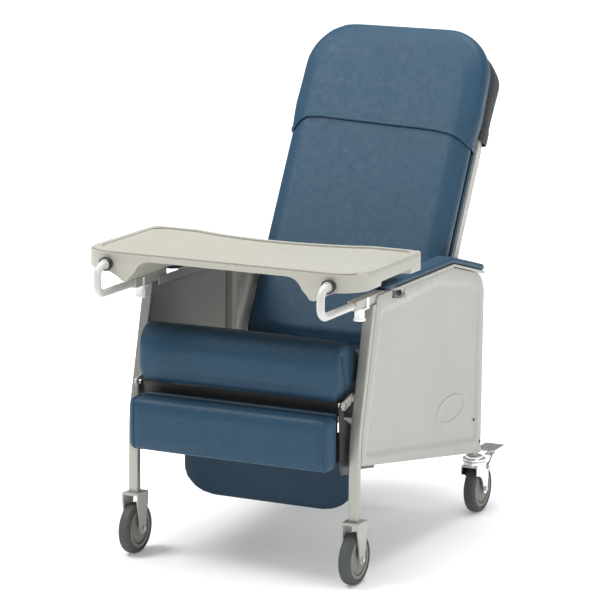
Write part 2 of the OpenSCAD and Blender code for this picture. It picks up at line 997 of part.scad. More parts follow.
module front_fork(s) {
    color([0.79, 0.79, 0.77])
        place()
            side(s)
                difference() {
                    union() {
                        for (x = [leg_cx - fork_w / 2, leg_cx + fork_w / 2 - fork_t])
                            slab_x(x, x + fork_t)
                                fork_plate2();
                        slab_x(leg_cx - fork_w / 2, leg_cx + fork_w / 2)
                            translate([fork_y0, fork_top_z - 5])
                                square([fork_len, 4.95]);
                    }
                    rod_x(leg_cx - 40, leg_cx + 40, front_axle_y, axle_z, axle_r);
                }
}

module front_bolts() {
    color([0.7, 0.7, 0.7])
        place()
            for (s = [1, -1])
                side(s) {
                    rod_x(leg_cx - fork_w / 2 - 3, leg_cx + fork_w / 2 + 3, front_axle_y, axle_z, axle_r);
                    rod_x(leg_cx + fork_w / 2 + 0.05, leg_cx + fork_w / 2 + 4, front_axle_y, axle_z, 6.5);
                    rod_x(leg_cx - fork_w / 2 - 5, leg_cx - fork_w / 2 - 0.05, front_axle_y, axle_z, 6.5);
                }
}

module tyre_at(x, y) {
    w = tyre_w / 2;
    r = 10;
    place()
        translate([x, y, axle_z])
            rotate([0, 90, 0])
                rotate_extrude($fn = 128)
                    difference() {
                        union() {
                            translate([hub_r, -w])
                                square([wheel_r - r - hub_r, 2 * w]);
                            translate([hub_r, -w + r])
                                square([wheel_r - hub_r, 2 * w - 2 * r]);
                            for (v = [-w + r, w - r])
                                translate([wheel_r - r, v])
                                    circle(r, $fn = 48);
                        }
                        translate([0, -w - 1])
                            square([hub_r + 0.05, 2 * w + 2]);
                    }
}

module hub_at(x, y) {
    w = tyre_w / 2 + 0.5;
    place()
        translate([x, y, axle_z])
            rotate([0, 90, 0])
                rotate_extrude($fn = 128)
                    polygon([[axle_r + run_gap, -w - 1.5], [14, -w - 1.5], [16, -w + 1], [36, -w + 1],
                        [37, -w + 3], [40, -w + 3], [41, -w + 1], [hub_r, -w + 1],
                        [hub_r, w - 1], [41, w - 1], [40, w - 3], [37, w - 3], [36, w - 1],
                        [16, w - 1], [14, w + 1.5], [axle_r + run_gap, w + 1.5]]);
}

// ---------------------------------------------------------------- rear casters
module caster_cup() {
    color([0.8, 0.8, 0.82])
        place()
            for (s = [1, -1])
                side(s) {
                    rod_z(150, 155.9, caster_x, caster_y, 22);
                    rod_z(155.8, 167.9, caster_x, caster_y, 5.5);
                    rod_z(141, 150.1, caster_x, caster_y, 31);
                    rod_z(130, 141.1, caster_x, caster_y, 8);
                }
}

module caster_fork(s) {
    color([0.82, 0.82, 0.84])
        place()
            side(s)
                difference() {
                    union() {
                        for (x = [caster_x - 23, caster_x + 20])
                            slab_x(x, x + 3) {
                                polygon([[709, 132], [709, 108], [722, 106], [738, 98], [748, 86], [754, 68],
                                    [780, 68], [783, 100], [784, 132]]);
                                circle_at(caster_y + caster_trail, axle_z, 13);
                                circle_at(780, 118, 6);
                            }
                        slab_x(caster_x - 23, caster_x + 23)
                            polygon([[709, 128.6], [784, 128.6], [784, 132], [709, 132]]);
                        rod_z(131.9, 140.8, caster_x, caster_y, 29);
                    }
                    rod_z(125, 142, caster_x, caster_y, 8 + run_gap);
                    rod_x(caster_x - 40, caster_x + 40, caster_y + caster_trail, axle_z, axle_r);
                    rod_x(caster_x - 40, caster_x + 40, 780, 118, 2.5);
                }
}

module rear_axle(s) {
    color([0.7, 0.7, 0.7])
        place()
            side(s) {
                rod_x(caster_x - 26, caster_x + 26, caster_y + caster_trail, axle_z, axle_r);
                rod_x(caster_x + 23.05, caster_x + 27, caster_y + caster_trail, axle_z, 6.5);
                rod_x(caster_x - 27, caster_x - 23.05, caster_y + caster_trail, axle_z, 6.5);
            }
}

module brake_pedal(s) {
    color([0.55, 0.5, 0.45])
        place()
            side(s) {
                for (x = [caster_x - 27.5, caster_x + 23.6])
                    slab_x(x, x + 3.9)
                        difference() {
                            polygon([[774, 114], [782, 110], [800, 134], [836, 146], [836, 152], [796, 146], [776, 128]]);
                            translate([780, 118])
                                circle(2.5 + run_gap);
                        }
                slab_x(caster_x - 27.5, caster_x + 27.5)
                    polygon([[812, 150], [880, 152], [882, 156], [812, 155]]);
                slab_x(caster_x - 14, caster_x + 14)
                    polygon([[842, 132], [866, 134], [866, 137], [842, 136]]);
                slab_x(caster_x - 4, caster_x + 4)
                    polygon([[842, 133], [848, 133], [848, 152], [842, 152]]);
            }
}

module pedal_pin(s) {
    color([0.7, 0.7, 0.7])
        place()
            side(s)
                for (x = [caster_x - 29, caster_x + 18])
                    rod_x(x, x + 11, 780, 118, 2.5);
}

// ---------------------------------------------------------------- nodes
module front_legs() {
    for (s = [1, -1])
        front_leg(s);
}

module rear_posts() {
    for (s = [1, -1])
        rear_post(s);
}

module lower_rails() {
    for (s = [1, -1])
        lower_rail(s);
}

module arm_rails() {
    for (s = [1, -1])
        arm_rail(s);
}

module rail_mouths() {
    for (s = [1, -1])
        rail_mouth(s);
}

module side_struts() {
    for (s = [1, -1]) {
        mid_strut(s);
        seat_post(s);
    }
}

module rear_gussets() {
    for (s = [1, -1])
        rear_gusset(s);
}

module seat_rails() {
    front_bar();
    for (s = [1, -1])
        seat_rail(s);
}

module panel_feet() {
    for (s = [1, -1])
        panel_foot(s);
}

module arm_plates() {
    for (s = [1, -1])
        arm_plate(s);
}

module socket_inserts() {
    for (s = [1, -1])
        socket_insert(s);
}

module tray_sockets() {
    for (s = [1, -1])
        tray_socket(s);
}

module clamp_shoes() {
    for (s = [1, -1])
        clamp_shoe(s);
}

module legrest_brackets() {
    for (s = [1, -1])
        legrest_bracket(s);
}

module front_forks() {
    for (s = [1, -1])
        front_fork(s);
}

module back_brackets() {
    for (s = [1, -1])
        back_bracket(s);
}

module legrest_plates() {
    for (s = [1, -1])
        legrest_plate(s);
}

module foot_arms() {
    for (s = [1, -1])
        foot_arm(s);
}

module tray_arms() {
    for (s = [1, -1])
        tray_arm(s);
}

module grommets() {
    for (s = [1, -1])
        grommet(s);
}

module cross_tubes() {
    seat_cross();
    rear_cross();
}

module side_panel_left() {
    panel(1);
}

module side_panel_right() {
    panel(-1);
}

module arm_pad_left() {
    arm_pad(1);
}

module arm_pad_right() {
    arm_pad(-1);
}

module caster_fork_left() {
    caster_fork(1);
}

module caster_fork_right() {
    caster_fork(-1);
}

module brake_pedal_left() {
    brake_pedal(1);
}

module brake_pedal_right() {
    brake_pedal(-1);
}

module clamp_knob_left() {
    clamp_knob(1);
}

module clamp_knob_right() {
    clamp_knob(-1);
}

module caster_pins_left() {
    rear_axle(1);
    pedal_pin(1);
}

module caster_pins_right() {
    rear_axle(-1);
    pedal_pin(-1);
}

module front_tyre_left() {
    color([0.24, 0.26, 0.24])
        tyre_at(leg_cx, front_axle_y);
}

module front_hub_left() {
    color([0.38, 0.37, 0.35])
        hub_at(leg_cx, front_axle_y);
}

module rear_tyre_left() {
    color([0.24, 0.26, 0.24])
        tyre_at(caster_x, caster_y + caster_trail);
}

module rear_hub_left() {
    color([0.38, 0.37, 0.35])
        hub_at(caster_x, caster_y + caster_trail);
}

module front_tyre_right() {
    color([0.24, 0.26, 0.24])
        tyre_at(-leg_cx, front_axle_y);
}

module front_hub_right() {
    color([0.38, 0.37, 0.35])
        hub_at(-leg_cx, front_axle_y);
}

module rear_tyre_right() {
    color([0.24, 0.26, 0.24])
        tyre_at(-caster_x, caster_y + caster_trail);
}

module rear_hub_right() {
    color([0.38, 0.37, 0.35])
        hub_at(-caster_x, caster_y + caster_trail);
}

module foot_hinges() {
    foot_hinge_pins();
}

module caster_cups() {
    caster_cup();
}

// which sub-part to draw

front_legs();
rear_posts();
lower_rails();
arm_rails();
rail_mouths();
side_struts();
rear_gussets();
cross_tubes();
seat_rails();
side_panel_left();
side_panel_right();
panel_screws();
panel_feet();
arm_plates();
arm_pad_left();
arm_pad_right();
socket_inserts();
tray_sockets();
clamp_shoes();
seat_cushion();
seat_board();
recline_pins();
legrest_brackets();
legrest_pins();
front_forks();
front_bolts();
caster_cups();
front_tyre_left();
front_tyre_right();
front_hub_left();
front_hub_right();
caster_fork_left();
caster_fork_right();
caster_pins_left();
caster_pins_right();
rear_tyre_left();
rear_tyre_right();
rear_hub_left();
rear_hub_right();
brake_pedal_left();
brake_pedal_right();
back_cushion();
back_board();
back_frame();
back_brackets();
push_handle();
cover_front();
cover_rear();
legrest_plates();
calf_pad();
calf_board();
foot_hinges();
foot_arms();
foot_board();
foot_pad();
tray();
tray_arms();
grommets();
clamp_knob_left();
clamp_knob_right();
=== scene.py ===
"""Patient recliner chair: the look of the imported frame. Metres, row frame, the sitter faces -Y."""
import json
import math

import bmesh
import bpy
import numpy as np
from mathutils import Matrix, Vector, noise
from mathutils.bvhtree import BVHTree


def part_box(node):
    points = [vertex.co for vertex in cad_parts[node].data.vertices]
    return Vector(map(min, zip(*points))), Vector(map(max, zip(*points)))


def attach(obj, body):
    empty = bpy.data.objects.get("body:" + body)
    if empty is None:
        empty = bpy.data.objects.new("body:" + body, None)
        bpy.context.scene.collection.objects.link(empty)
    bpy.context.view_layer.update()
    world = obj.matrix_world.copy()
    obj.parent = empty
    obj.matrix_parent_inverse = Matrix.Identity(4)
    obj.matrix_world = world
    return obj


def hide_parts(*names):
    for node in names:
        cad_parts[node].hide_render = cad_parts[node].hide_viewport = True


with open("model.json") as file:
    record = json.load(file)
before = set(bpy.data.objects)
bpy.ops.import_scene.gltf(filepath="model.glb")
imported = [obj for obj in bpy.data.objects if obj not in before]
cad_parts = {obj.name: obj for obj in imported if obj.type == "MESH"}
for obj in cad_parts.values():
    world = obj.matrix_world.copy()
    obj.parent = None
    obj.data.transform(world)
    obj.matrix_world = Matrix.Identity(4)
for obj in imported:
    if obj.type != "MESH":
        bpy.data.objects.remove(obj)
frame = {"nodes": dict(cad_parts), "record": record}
NODES = frame["nodes"]
BODY_OF = {n: b for b, ns in frame["record"]["behaviour"]["bodies"].items() for n in ns}
SLOT_OF = {s["node"]: s["material_slot"] for s in frame["record"]["subparts"]}
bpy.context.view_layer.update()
SCENE = bpy.context.scene
MM = 0.001
Y0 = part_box("front_legs")[0].y  # front face of the front legs
LEAN = math.radians(28.5)  # lean of the back at rest
BACK_Y, BACK_Z = 0.5561, 0.600  # foot of the back's own axes, behind the legs and above the floor
BACK_THICK = 0.072  # back cushion
PANEL_SINK = 0.0036  # depth of the field in the panels' outer faces
BACK = Matrix.Translation((0, Y0 + BACK_Y, BACK_Z)) @ Matrix.Rotation(-LEAN, 4, "X")


# ------------------------------------------------------------------ camera
def camera():
    data = bpy.data.cameras.new("camera")
    data.lens = 193.9
    data.sensor_width = 36
    data.clip_end = 60
    cam = bpy.data.objects.new("camera", data)
    SCENE.collection.objects.link(cam)
    right = Vector((0.89763564, 0.44065852, 0.00838561))
    up = Vector((-0.09442671, 0.17369613, 0.98026183))
    back = Vector((0.43050418, -0.88070978, 0.19752577))
    m = Matrix((right, up, back)).transposed().to_4x4()
    m.translation = Vector((3.44905, Y0 - 6.74034, 2.19348))
    cam.matrix_world = m
    SCENE.camera = cam


camera()


# ------------------------------------------------------------------ light
def area(name, at, target, size, energy, colour=(1, 1, 1)):
    light = bpy.data.lights.new(name, "AREA")
    light.shape = "RECTANGLE"
    light.size, light.size_y = size
    light.energy = energy
    light.color = colour
    o = bpy.data.objects.new(name, light)
    SCENE.collection.objects.link(o)
    o.location = at
    o.rotation_euler = (Vector(target) - Vector(at)).to_track_quat("-Z", "Y").to_euler()
    return o


def studio():
    world = bpy.data.worlds.new("studio")
    SCENE.world = world
    world.use_nodes = True
    tree = world.node_tree
    bg = tree.nodes["Background"]
    bg.inputs["Color"].default_value = (1.0, 1.0, 1.0, 1)
    at = tree.nodes.new("ShaderNodeTexCoord")
    axes = tree.nodes.new("ShaderNodeSeparateXYZ")
    level = tree.nodes.new("ShaderNodeMapRange")
    level.inputs["To Min"].default_value = 0.20
    level.inputs["To Max"].default_value = 0.66
    tree.links.new(at.outputs["Generated"], axes.inputs["Vector"])
    tree.links.new(axes.outputs["Z"], level.inputs["Value"])
    tree.links.new(level.outputs["Result"], bg.inputs["Strength"])
    area("key", (-2.4, -2.0, 4.6), (0, 0, 0.6), (2.2, 2.0), 175, (1.0, 0.99, 0.97))
    area("front", (1.0, -5.0, 1.6), (0, 0, 0.6), (2.6, 1.6), 9, (1.0, 0.99, 0.98))
    area("side", (4.2, -0.6, 2.4), (0.2, 0.1, 0.5), (2.2, 2.2), 47, (0.97, 0.985, 1.0))
    area("top", (0.2, 0.6, 4.4), (0, 0.1, 0), (2.6, 2.6), 130)
    SCENE.view_settings.view_transform = "Standard"
    SCENE.view_settings.look = "None"


studio()


# ------------------------------------------------------------------ materials
class Net:
    """A material's node tree, built a node at a time."""

    def __init__(self, name):
        self.m = bpy.data.materials.new(name)
        self.m.use_nodes = True
        self.t = self.m.node_tree
        self.bsdf = self.t.nodes["Principled BSDF"]
        self.at = self.node("ShaderNodeTexCoord").outputs["Object"]

    def node(self, kind, **values):
        n = self.t.nodes.new(kind)
        for k, v in values.items():
            setattr(n, k, v)
        return n

    def link(self, a, b):
        self.t.links.new(a, b)

    def put(self, name, value):
        self.bsdf.inputs[name].default_value = value

    def mapped(self, scale):
        n = self.node("ShaderNodeMapping")
        n.inputs["Scale"].default_value = scale
        self.link(self.at, n.inputs["Vector"])
        return n.outputs["Vector"]

    def noise(self, scale, detail=3.0, rough=0.55, at=None):
        n = self.node("ShaderNodeTexNoise")
        n.inputs["Scale"].default_value = scale
        n.inputs["Detail"].default_value = detail
        n.inputs["Roughness"].default_value = rough
        self.link(at or self.at, n.inputs["Vector"])
        return n.outputs["Fac"]

    def cells(self, scale, feature="F1"):
        n = self.node("ShaderNodeTexVoronoi", feature=feature)
        n.inputs["Scale"].default_value = scale
        self.link(self.at, n.inputs["Vector"])
        return n.outputs["Distance"]

    def ramp(self, fac, lo, hi, a, b):
        n = self.node("ShaderNodeMapRange")
        n.inputs["From Min"].default_value = lo
        n.inputs["From Max"].default_value = hi
        n.inputs["To Min"].default_value = a
        n.inputs["To Max"].default_value = b
        self.link(fac, n.inputs["Value"])
        return n.outputs["Result"]

    def math(self, op, a, b):
        n = self.node("ShaderNodeMath", operation=op)
        for i, v in enumerate((a, b)):
            if isinstance(v, (int, float)):
                n.inputs[i].default_value = v
            else:
                self.link(v, n.inputs[i])
        return n.outputs["Value"]

    def mix(self, fac, a, b):
        n = self.node("ShaderNodeMix", data_type="RGBA")
        if isinstance(fac, (int, float)):
            n.inputs["Factor"].default_value = fac
        else:
            self.link(fac, n.inputs["Factor"])
        for key, v in (("A", a), ("B", b)):
            s = [i for i in n.inputs if i.name == key and i.type == "RGBA"][0]
            if isinstance(v, tuple):
                s.default_value = (*v, 1)
            else:
                self.link(v, s)
        return [o for o in n.outputs if o.type == "RGBA"][0]

    def bump(self, height, strength, distance, normal=None):
        n = self.node("ShaderNodeBump")
        n.inputs["Strength"].default_value = strength
        n.inputs["Distance"].default_value = distance
        self.link(height, n.inputs["Height"])
        if normal is not None:
            self.link(normal, n.inputs["Normal"])
        return n.outputs["Normal"]

    def edges(self, lo=0.52, hi=0.6):
        g = self.node("ShaderNodeNewGeometry")
        return self.ramp(g.outputs["Pointiness"], lo, hi, 0.0, 1.0)

    def painted_hollow_shade(self, c, reach, low):
        """Painted shade: darkens a colour in gaps and folds narrower than reach, by ambient occlusion."""
        n = self.node("ShaderNodeAmbientOcclusion")
        n.samples = 6
        n.inputs["Distance"].default_value = reach
        return self.mix(self.ramp(n.outputs["AO"], 0.15, 0.85, 1 - low, 0.0), c, (0.0, 0.0, 0.0))

    def colour(self, socket):
        self.link(socket, self.bsdf.inputs["Base Color"])

    def rough(self, socket):
        self.link(socket, self.bsdf.inputs["Roughness"])

    def normal(self, socket):
        self.link(socket, self.bsdf.inputs["Normal"])


def scaled(c, k):
    return tuple(min(1.0, v * k) for v in c)


def vinyl(name, base, tint, roughness=0.47):
    """Upholstery vinyl: leather-like cells, a fine mottle, and a soft broad shine."""
    n = Net(name)
    mottle = n.ramp(n.noise(420, 4, 0.7), 0.32, 0.68, 0, 1)
    broad = n.ramp(n.noise(5.5, 2), 0.35, 0.65, 0, 1)
    c = n.mix(mottle, scaled(base, 0.80), tint)
    c = n.mix(n.math("MULTIPLY", broad, 0.25), c, scaled(base, 1.25))
    c = n.mix(n.math("MULTIPLY", n.edges(0.51, 0.58), 0.18), c, scaled(tint, 1.6))
    # The vinyl's colour carries painted shade: it is darker in its gaps and folds.
    n.colour(n.painted_hollow_shade(c, 0.30, 0.30))
    n.rough(n.ramp(n.noise(60, 3), 0.3, 0.7, roughness - 0.05, roughness + 0.07))
    grain = n.bump(n.cells(900, "DISTANCE_TO_EDGE"), 0.35, 0.0004)
    grain = n.bump(n.noise(260, 4, 0.6), 0.20, 0.0008, grain)
    n.normal(n.bump(n.noise(28, 3), 0.16, 0.004, grain))
    n.put("Sheen Weight", 0.04)
    n.put("Sheen Roughness", 0.45)
    n.put("Sheen Tint", (0.55, 0.75, 0.85, 1))
    n.put("Specular IOR Level", 0.24)
    return n.m


def moulded(name, base, roughness=0.42, grain=0.25, scale=700, speck=0.03):
    """Injection-moulded plastic: fine spark-eroded grain, faint flow variation."""
    n = Net(name)
    flow = n.ramp(n.noise(3.2, 3), 0.3, 0.7, 0, 1)
    c = n.mix(flow, scaled(base, 1 - speck), scaled(base, 1 + speck))
    c = n.mix(n.math("MULTIPLY", n.noise(900, 2), 0.10), c, scaled(base, 0.86))
    c = n.mix(n.math("MULTIPLY", n.edges(), 0.30), c, scaled(base, 1.15))
    n.colour(c)
    n.rough(n.ramp(n.noise(35, 4), 0.3, 0.7, roughness - 0.05, roughness + 0.06))
    b = n.bump(n.noise(scale, 3, 0.6), grain, 0.0003)
    n.normal(n.bump(n.noise(9, 2), 0.10, 0.004, b))
    return n.m


def painted(name, base, roughness=0.36, flake=0.0):
    """Powder coat on steel: orange peel, small scuffs, a little flake."""
    n = Net(name)
    scuff = n.ramp(n.noise(48, 6, 0.7), 0.60, 0.70, 0, 1)
    c = n.mix(n.math("MULTIPLY", scuff, 0.22), base, scaled(base, 0.78))
    c = n.mix(n.math("MULTIPLY", n.edges(), 0.35), c, scaled(base, 1.25))
    n.colour(c)
    n.put("Metallic", flake)
    n.rough(n.ramp(n.noise(80, 3), 0.3, 0.7, roughness - 0.05, roughness + 0.08))
    n.normal(n.bump(n.noise(380, 3, 0.6), 0.22, 0.0005))
    return n.m


def brushed(name, base, roughness=0.34, along=(260, 260, 6)):
    """Drawn steel tube under a satin lacquer: fine lines along Z."""
    n = Net(name)
    lines = n.noise(3.0, 4, 0.6, n.mapped(along))
    c = n.mix(n.ramp(lines, 0.3, 0.7, 0, 1), scaled(base, 0.88), scaled(base, 1.10))
    n.colour(n.mix(n.math("MULTIPLY", n.edges(), 0.4), c, scaled(base, 1.3)))
    n.put("Metallic", 0.62)
    n.rough(n.ramp(lines, 0.2, 0.8, roughness - 0.05, roughness + 0.08))
    n.normal(n.bump(lines, 0.08, 0.0004))
    return n.m


def plated(name, base, roughness=0.14):
    """Bright plating with light smudges."""
    n = Net(name)
    smudge = n.ramp(n.noise(24, 5, 0.65), 0.45, 0.7, 0, 1)
    n.colour(n.mix(n.math("MULTIPLY", smudge, 0.3), base, scaled(base, 0.82)))
    n.put("Metallic", 1.0)
    n.rough(n.ramp(n.noise(30, 4), 0.3, 0.7, roughness - 0.04, roughness + 0.12))
    n.normal(n.bump(n.noise(160, 2), 0.05, 0.0004))
    return n.m


def rubber(name, base, roughness=0.62):
    """Solid tyre or bushing: matte with a dusty bloom."""
    n = Net(name)
    dust = n.ramp(n.noise(38, 5, 0.6), 0.42, 0.72, 0, 1)
    c = n.mix(n.math("MULTIPLY", dust, 0.35), base, scaled(base, 1.7))
    n.colour(n.mix(n.math("MULTIPLY", n.edges(), 0.3), c, scaled(base, 1.6)))
    n.rough(n.ramp(n.noise(120, 3), 0.3, 0.7, roughness - 0.08, roughness + 0.08))
    n.normal(n.bump(n.noise(620, 3, 0.7), 0.3, 0.0004))
    return n.m


def plywood(name, base):
    """Board under the cushions: long grain and small pores."""
    n = Net(name)
    lines = n.noise(4.0, 6, 0.6, n.mapped((4, 90, 90)))
    n.colour(n.mix(n.ramp(lines, 0.3, 0.7, 0, 1), scaled(base, 0.72), scaled(base, 1.2)))
    n.rough(n.ramp(lines, 0.2, 0.8, 0.5, 0.7))
    n.normal(n.bump(lines, 0.2, 0.0008))
    return n.m


NAVY = (0.012, 0.042, 0.084)
TEAL = (0.024, 0.072, 0.116)
GREIGE = (0.355, 0.348, 0.318)
MATS = {
    "leg_metal": brushed("leg_metal", (0.31, 0.315, 0.285)),
    "frame_paint": painted("frame_paint", (0.37, 0.368, 0.338), 0.38),
    "panel_plastic": moulded("panel_plastic", GREIGE, 0.44, 0.30, 620),
    # The near-black paint on the rails and tubes under the seat is painted shade; the real frame there has the
    # same paint as the rest.
    "dark_steel": painted("dark_steel", (0.040, 0.040, 0.040), 0.42),
    "vinyl": vinyl("vinyl", NAVY, TEAL),
    "dark_vinyl": vinyl("dark_vinyl", (0.028, 0.028, 0.030), (0.045, 0.045, 0.048), 0.5),
    "white_plastic": moulded("white_plastic", (0.84, 0.84, 0.84), 0.30, 0.08, 400),
    # The board's near-black tone is painted shade for the dark space under the seat.
    "board": plywood("board", (0.045, 0.042, 0.040)),
    "zinc_steel": plated("zinc_steel", (0.62, 0.62, 0.60), 0.28),
    "caster_chrome": plated("caster_chrome", (0.78, 0.79, 0.80), 0.13),
    "tyre": rubber("tyre", (0.050, 0.057, 0.052)),
    "hub_plastic": moulded("hub_plastic", (0.20, 0.19, 0.165), 0.5, 0.3, 500),
    "tray_plastic": moulded("tray_plastic", (0.385, 0.376, 0.330), 0.40, 0.22, 900),
    "arm_paint": painted("arm_paint", (0.52, 0.52, 0.50), 0.32),
    "black_rubber": rubber("black_rubber", (0.012, 0.012, 0.012), 0.5),
    "fork_paint": painted("fork_paint", (0.42, 0.41, 0.375), 0.40),
}


# ------------------------------------------------------------------ mesh helpers
def new_object(name, mesh, mat):
    o = bpy.data.objects.new(name, mesh)
    SCENE.collection.objects.link(o)
    mesh.materials.clear()
    mesh.materials.append(mat)
    return o


def from_bmesh(name, bm, mat, smooth=40):
    bmesh.ops.recalc_face_normals(bm, faces=bm.faces)
    me = bpy.data.meshes.new(name)
    bm.to_mesh(me)
    bm.free()
    shade(me, smooth)
    return new_object(name, me, mat)


def shade(me, angle=40):
    me.polygons.foreach_set("use_smooth", [True] * len(me.polygons))
    if angle < 180:
        me.set_sharp_from_angle(angle=math.radians(angle))
    me.update()


def tidy(bm, flat=0.6):
    bmesh.ops.remove_doubles(bm, verts=bm.verts, dist=1e-5)
    bmesh.ops.dissolve_limit(bm, angle_limit=math.radians(flat), verts=bm.verts, edges=bm.edges)
    bmesh.ops.recalc_face_normals(bm, faces=bm.faces)


def soften(bm, width, segments=3, angle=28):
    edges = [e for e in bm.edges if len(e.link_faces) == 2
             and e.calc_face_angle() > math.radians(angle)]
    bmesh.ops.bevel(bm, geom=edges, offset=width, segments=segments, profile=0.5,
                    affect="EDGES", clamp_overlap=True)


def own(o, body, slot, *nodes):
    """Rides, and stands for the CAD nodes given. The slot is not used."""
    if nodes:
        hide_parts(*nodes)
    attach(o, body)
    return o


def refined(node, name, width, segments=2, angle=28, flat=0.6):
    """The CAD node's own shape with its edges rounded."""
    bm = bmesh.new()
    bm.from_mesh(NODES[node].data)
    tidy(bm, flat)
    soften(bm, width, segments, angle)
    o = from_bmesh(name, bm, MATS[SLOT_OF[node]])
    o.modifiers.new("normals", "WEIGHTED_NORMAL")
    return own(o, BODY_OF[node], SLOT_OF[node], node)


def ring_mesh(name, rings, mat, closed=True, smooth=40):
    """A skin over rings of points that all have the same count, with capped ends if closed."""
    bm = bmesh.new()
    rows = [[bm.verts.new(p) for p in r] for r in rings]
    n = len(rows[0])
    for a, b in zip(rows, rows[1:]):
        for i in range(n if closed else n - 1):
            j = (i + 1) % n
            bm.faces.new((a[i], a[j], b[j], b[i]))
    if closed:
        bm.faces.new(rows[0][::-1])
        bm.faces.new(rows[-1])
    return from_bmesh(name, bm, mat, smooth)


def frames_along(path):
    """Points, directions and a steady sideways vector along a polyline."""
    pts = [Vector(p) for p in path]
    out = []
    side = None
    for i, p in enumerate(pts):
        t = (pts[min(i + 1, len(pts) - 1)] - pts[max(i - 1, 0)]).normalized()
        if side is None:
            side = t.orthogonal().normalized()
        side = (side - t * side.dot(t)).normalized()
        out.append((p, t, side))
    return out


def tube(name, path, radius, mat, sides=20):
    rings = []
    for p, t, s in frames_along(path):
        u = t.cross(s)
        rings.append([p + (s * math.cos(a) + u * math.sin(a)) * radius
                      for a in (2 * math.pi * k / sides for k in range(sides))])
    return ring_mesh(name, rings, mat, smooth=60)


def lathe(name, profile, mat, origin, axis="Z", steps=72, smooth=35):
    """Turns (radius, height) points about an axis through origin."""
    spin = {"Z": Matrix.Identity(3), "X": Matrix.Rotation(math.pi / 2, 3, "Y"),
            "-Y": Matrix.Rotation(math.pi / 2, 3, "X")}[axis]
    bm = bmesh.new()
    rows = []
    for r, h in profile:
        if r < 1e-6:
            rows.append([bm.verts.new(Vector(origin) + spin @ Vector((0, 0, h)))])
            continue
        rows.append([bm.verts.new(Vector(origin) + spin @ Vector(
            (r * math.cos(a), r * math.sin(a), h))) for a in
            (2 * math.pi * k / steps for k in range(steps))])
    for a, b in zip(rows, rows[1:]):
        for i in range(steps):
            j = (i + 1) % steps
            q = [a[i % len(a)], a[j % len(a)], b[j % len(b)], b[i % len(b)]]
            q = list(dict.fromkeys(q))
            if len(q) > 2:
                bm.faces.new(q)
    return from_bmesh(name, bm, mat, smooth)


def joined(name, parts):
    """Joins new pieces into the first one."""
    base = parts[0]
    bm = bmesh.new()
    for o in parts:
        bm.from_mesh(o.data)
    bm.to_mesh(base.data)
    bm.free()
    for o in parts[1:]:
        bpy.data.objects.remove(o)
    base.name = name
    shade(base.data, 40)
    return base


def applied(o):
    dg = bpy.context.evaluated_depsgraph_get()
    me = bpy.data.meshes.new_from_object(o.evaluated_get(dg))
    o.modifiers.clear()
    o.data = me
    return o


def coords(me):
    co = np.empty(len(me.vertices) * 3)
    me.vertices.foreach_get("co", co)
    return co.reshape(-1, 3)


def point_normals(me):
    no = np.empty(len(me.vertices) * 3)
    me.vertices.foreach_get("normal", no)
    return no.reshape(-1, 3)


def set_coords(me, co):
    me.vertices.foreach_set("co", np.asarray(co, float).ravel())
    me.update()


# ------------------------------------------------------------------ soft pieces
def envelope(node, hull=False):
    bm = bmesh.new()
    bm.from_mesh(NODES[node].data)
    if hull:
        out = bmesh.ops.convex_hull(bm, input=bm.verts)
        gone = [g for g in out["geom_interior"] + out["geom_unused"] if isinstance(g, bmesh.types.BMVert)]
        bmesh.ops.delete(bm, geom=gone, context="VERTS")
    tidy(bm)
    return bm


def remeshed(o, voxel):
    m = o.modifiers.new("remesh", "REMESH")
    m.mode = "VOXEL"
    m.voxel_size = voxel
    return applied(o)


def smoothed(me, times, factor=0.5, keep=None):
    """Laplacian smoothing; keep gives each point's share of the move."""
    n = len(me.vertices)
    e = np.empty(len(me.edges) * 2, int)
    me.edges.foreach_get("vertices", e)
    e = e.reshape(-1, 2)
    co = coords(me)
    deg = np.bincount(e.ravel(), minlength=n).reshape(-1, 1)
    for _ in range(times):
        s = np.zeros_like(co)
        np.add.at(s, e[:, 0], co[e[:, 1]])
        np.add.at(s, e[:, 1], co[e[:, 0]])
        step = (s / np.maximum(deg, 1) - co) * factor
        co += step if keep is None else step * keep[:, None]
    set_coords(me, co)


def inflate(o, pressure, cap, hold=None, frames=8):
    """Cloth under inner pressure, with each point's move capped and scaled by hold."""
    before = coords(o.data)
    normals = point_normals(o.data)
    m = o.modifiers.new("cloth", "CLOTH")
    s = m.settings
    s.quality = 3
    s.mass = 0.3
    s.use_pressure = True
    s.uniform_pressure_force = pressure
    s.effector_weights.gravity = 0
    m.point_cache.frame_start = 1
    m.point_cache.frame_end = frames
    for f in range(1, frames + 1):
        SCENE.frame_set(f)
    applied(o)
    SCENE.frame_set(1)
    move = coords(o.data) - before
    out = (move * normals).sum(1)
    move -= normals * np.minimum(out, 0)[:, None]
    length = np.linalg.norm(move, axis=1)
    move *= (np.minimum(length, cap) / np.maximum(length, 1e-9))[:, None]
    if hold is not None:
        move *= hold(before)[:, None]
    set_coords(o.data, before + move)


def cushion(name, node, inset, round_by, voxel, pressure, cap, local=None,
            hold=None, soft=2):
    """A padded piece grown from its CAD solid by remesh, pressure and smoothing."""
    local = local or Matrix.Identity(4)
    bm = envelope(node)
    bmesh.ops.transform(bm, matrix=local.inverted(), verts=bm.verts)
    lo = Vector([min(v.co[i] for v in bm.verts) for i in range(3)])
    hi = Vector([max(v.co[i] for v in bm.verts) for i in range(3)])
    mid, half = (lo + hi) / 2, (hi - lo) / 2
    for v in bm.verts:
        for i in range(3):
            v.co[i] = mid[i] + (v.co[i] - mid[i]) * (half[i] - inset[i]) / half[i]
    soften(bm, round_by, 4, 30)
    bmesh.ops.transform(bm, matrix=local, verts=bm.verts)
    o = from_bmesh(name, bm, MATS["vinyl"], 180)
    remeshed(o, voxel)
    smoothed(o.data, 3)
    if pressure:
        inflate(o, pressure, cap, hold)
    smoothed(o.data, soft)
    return o


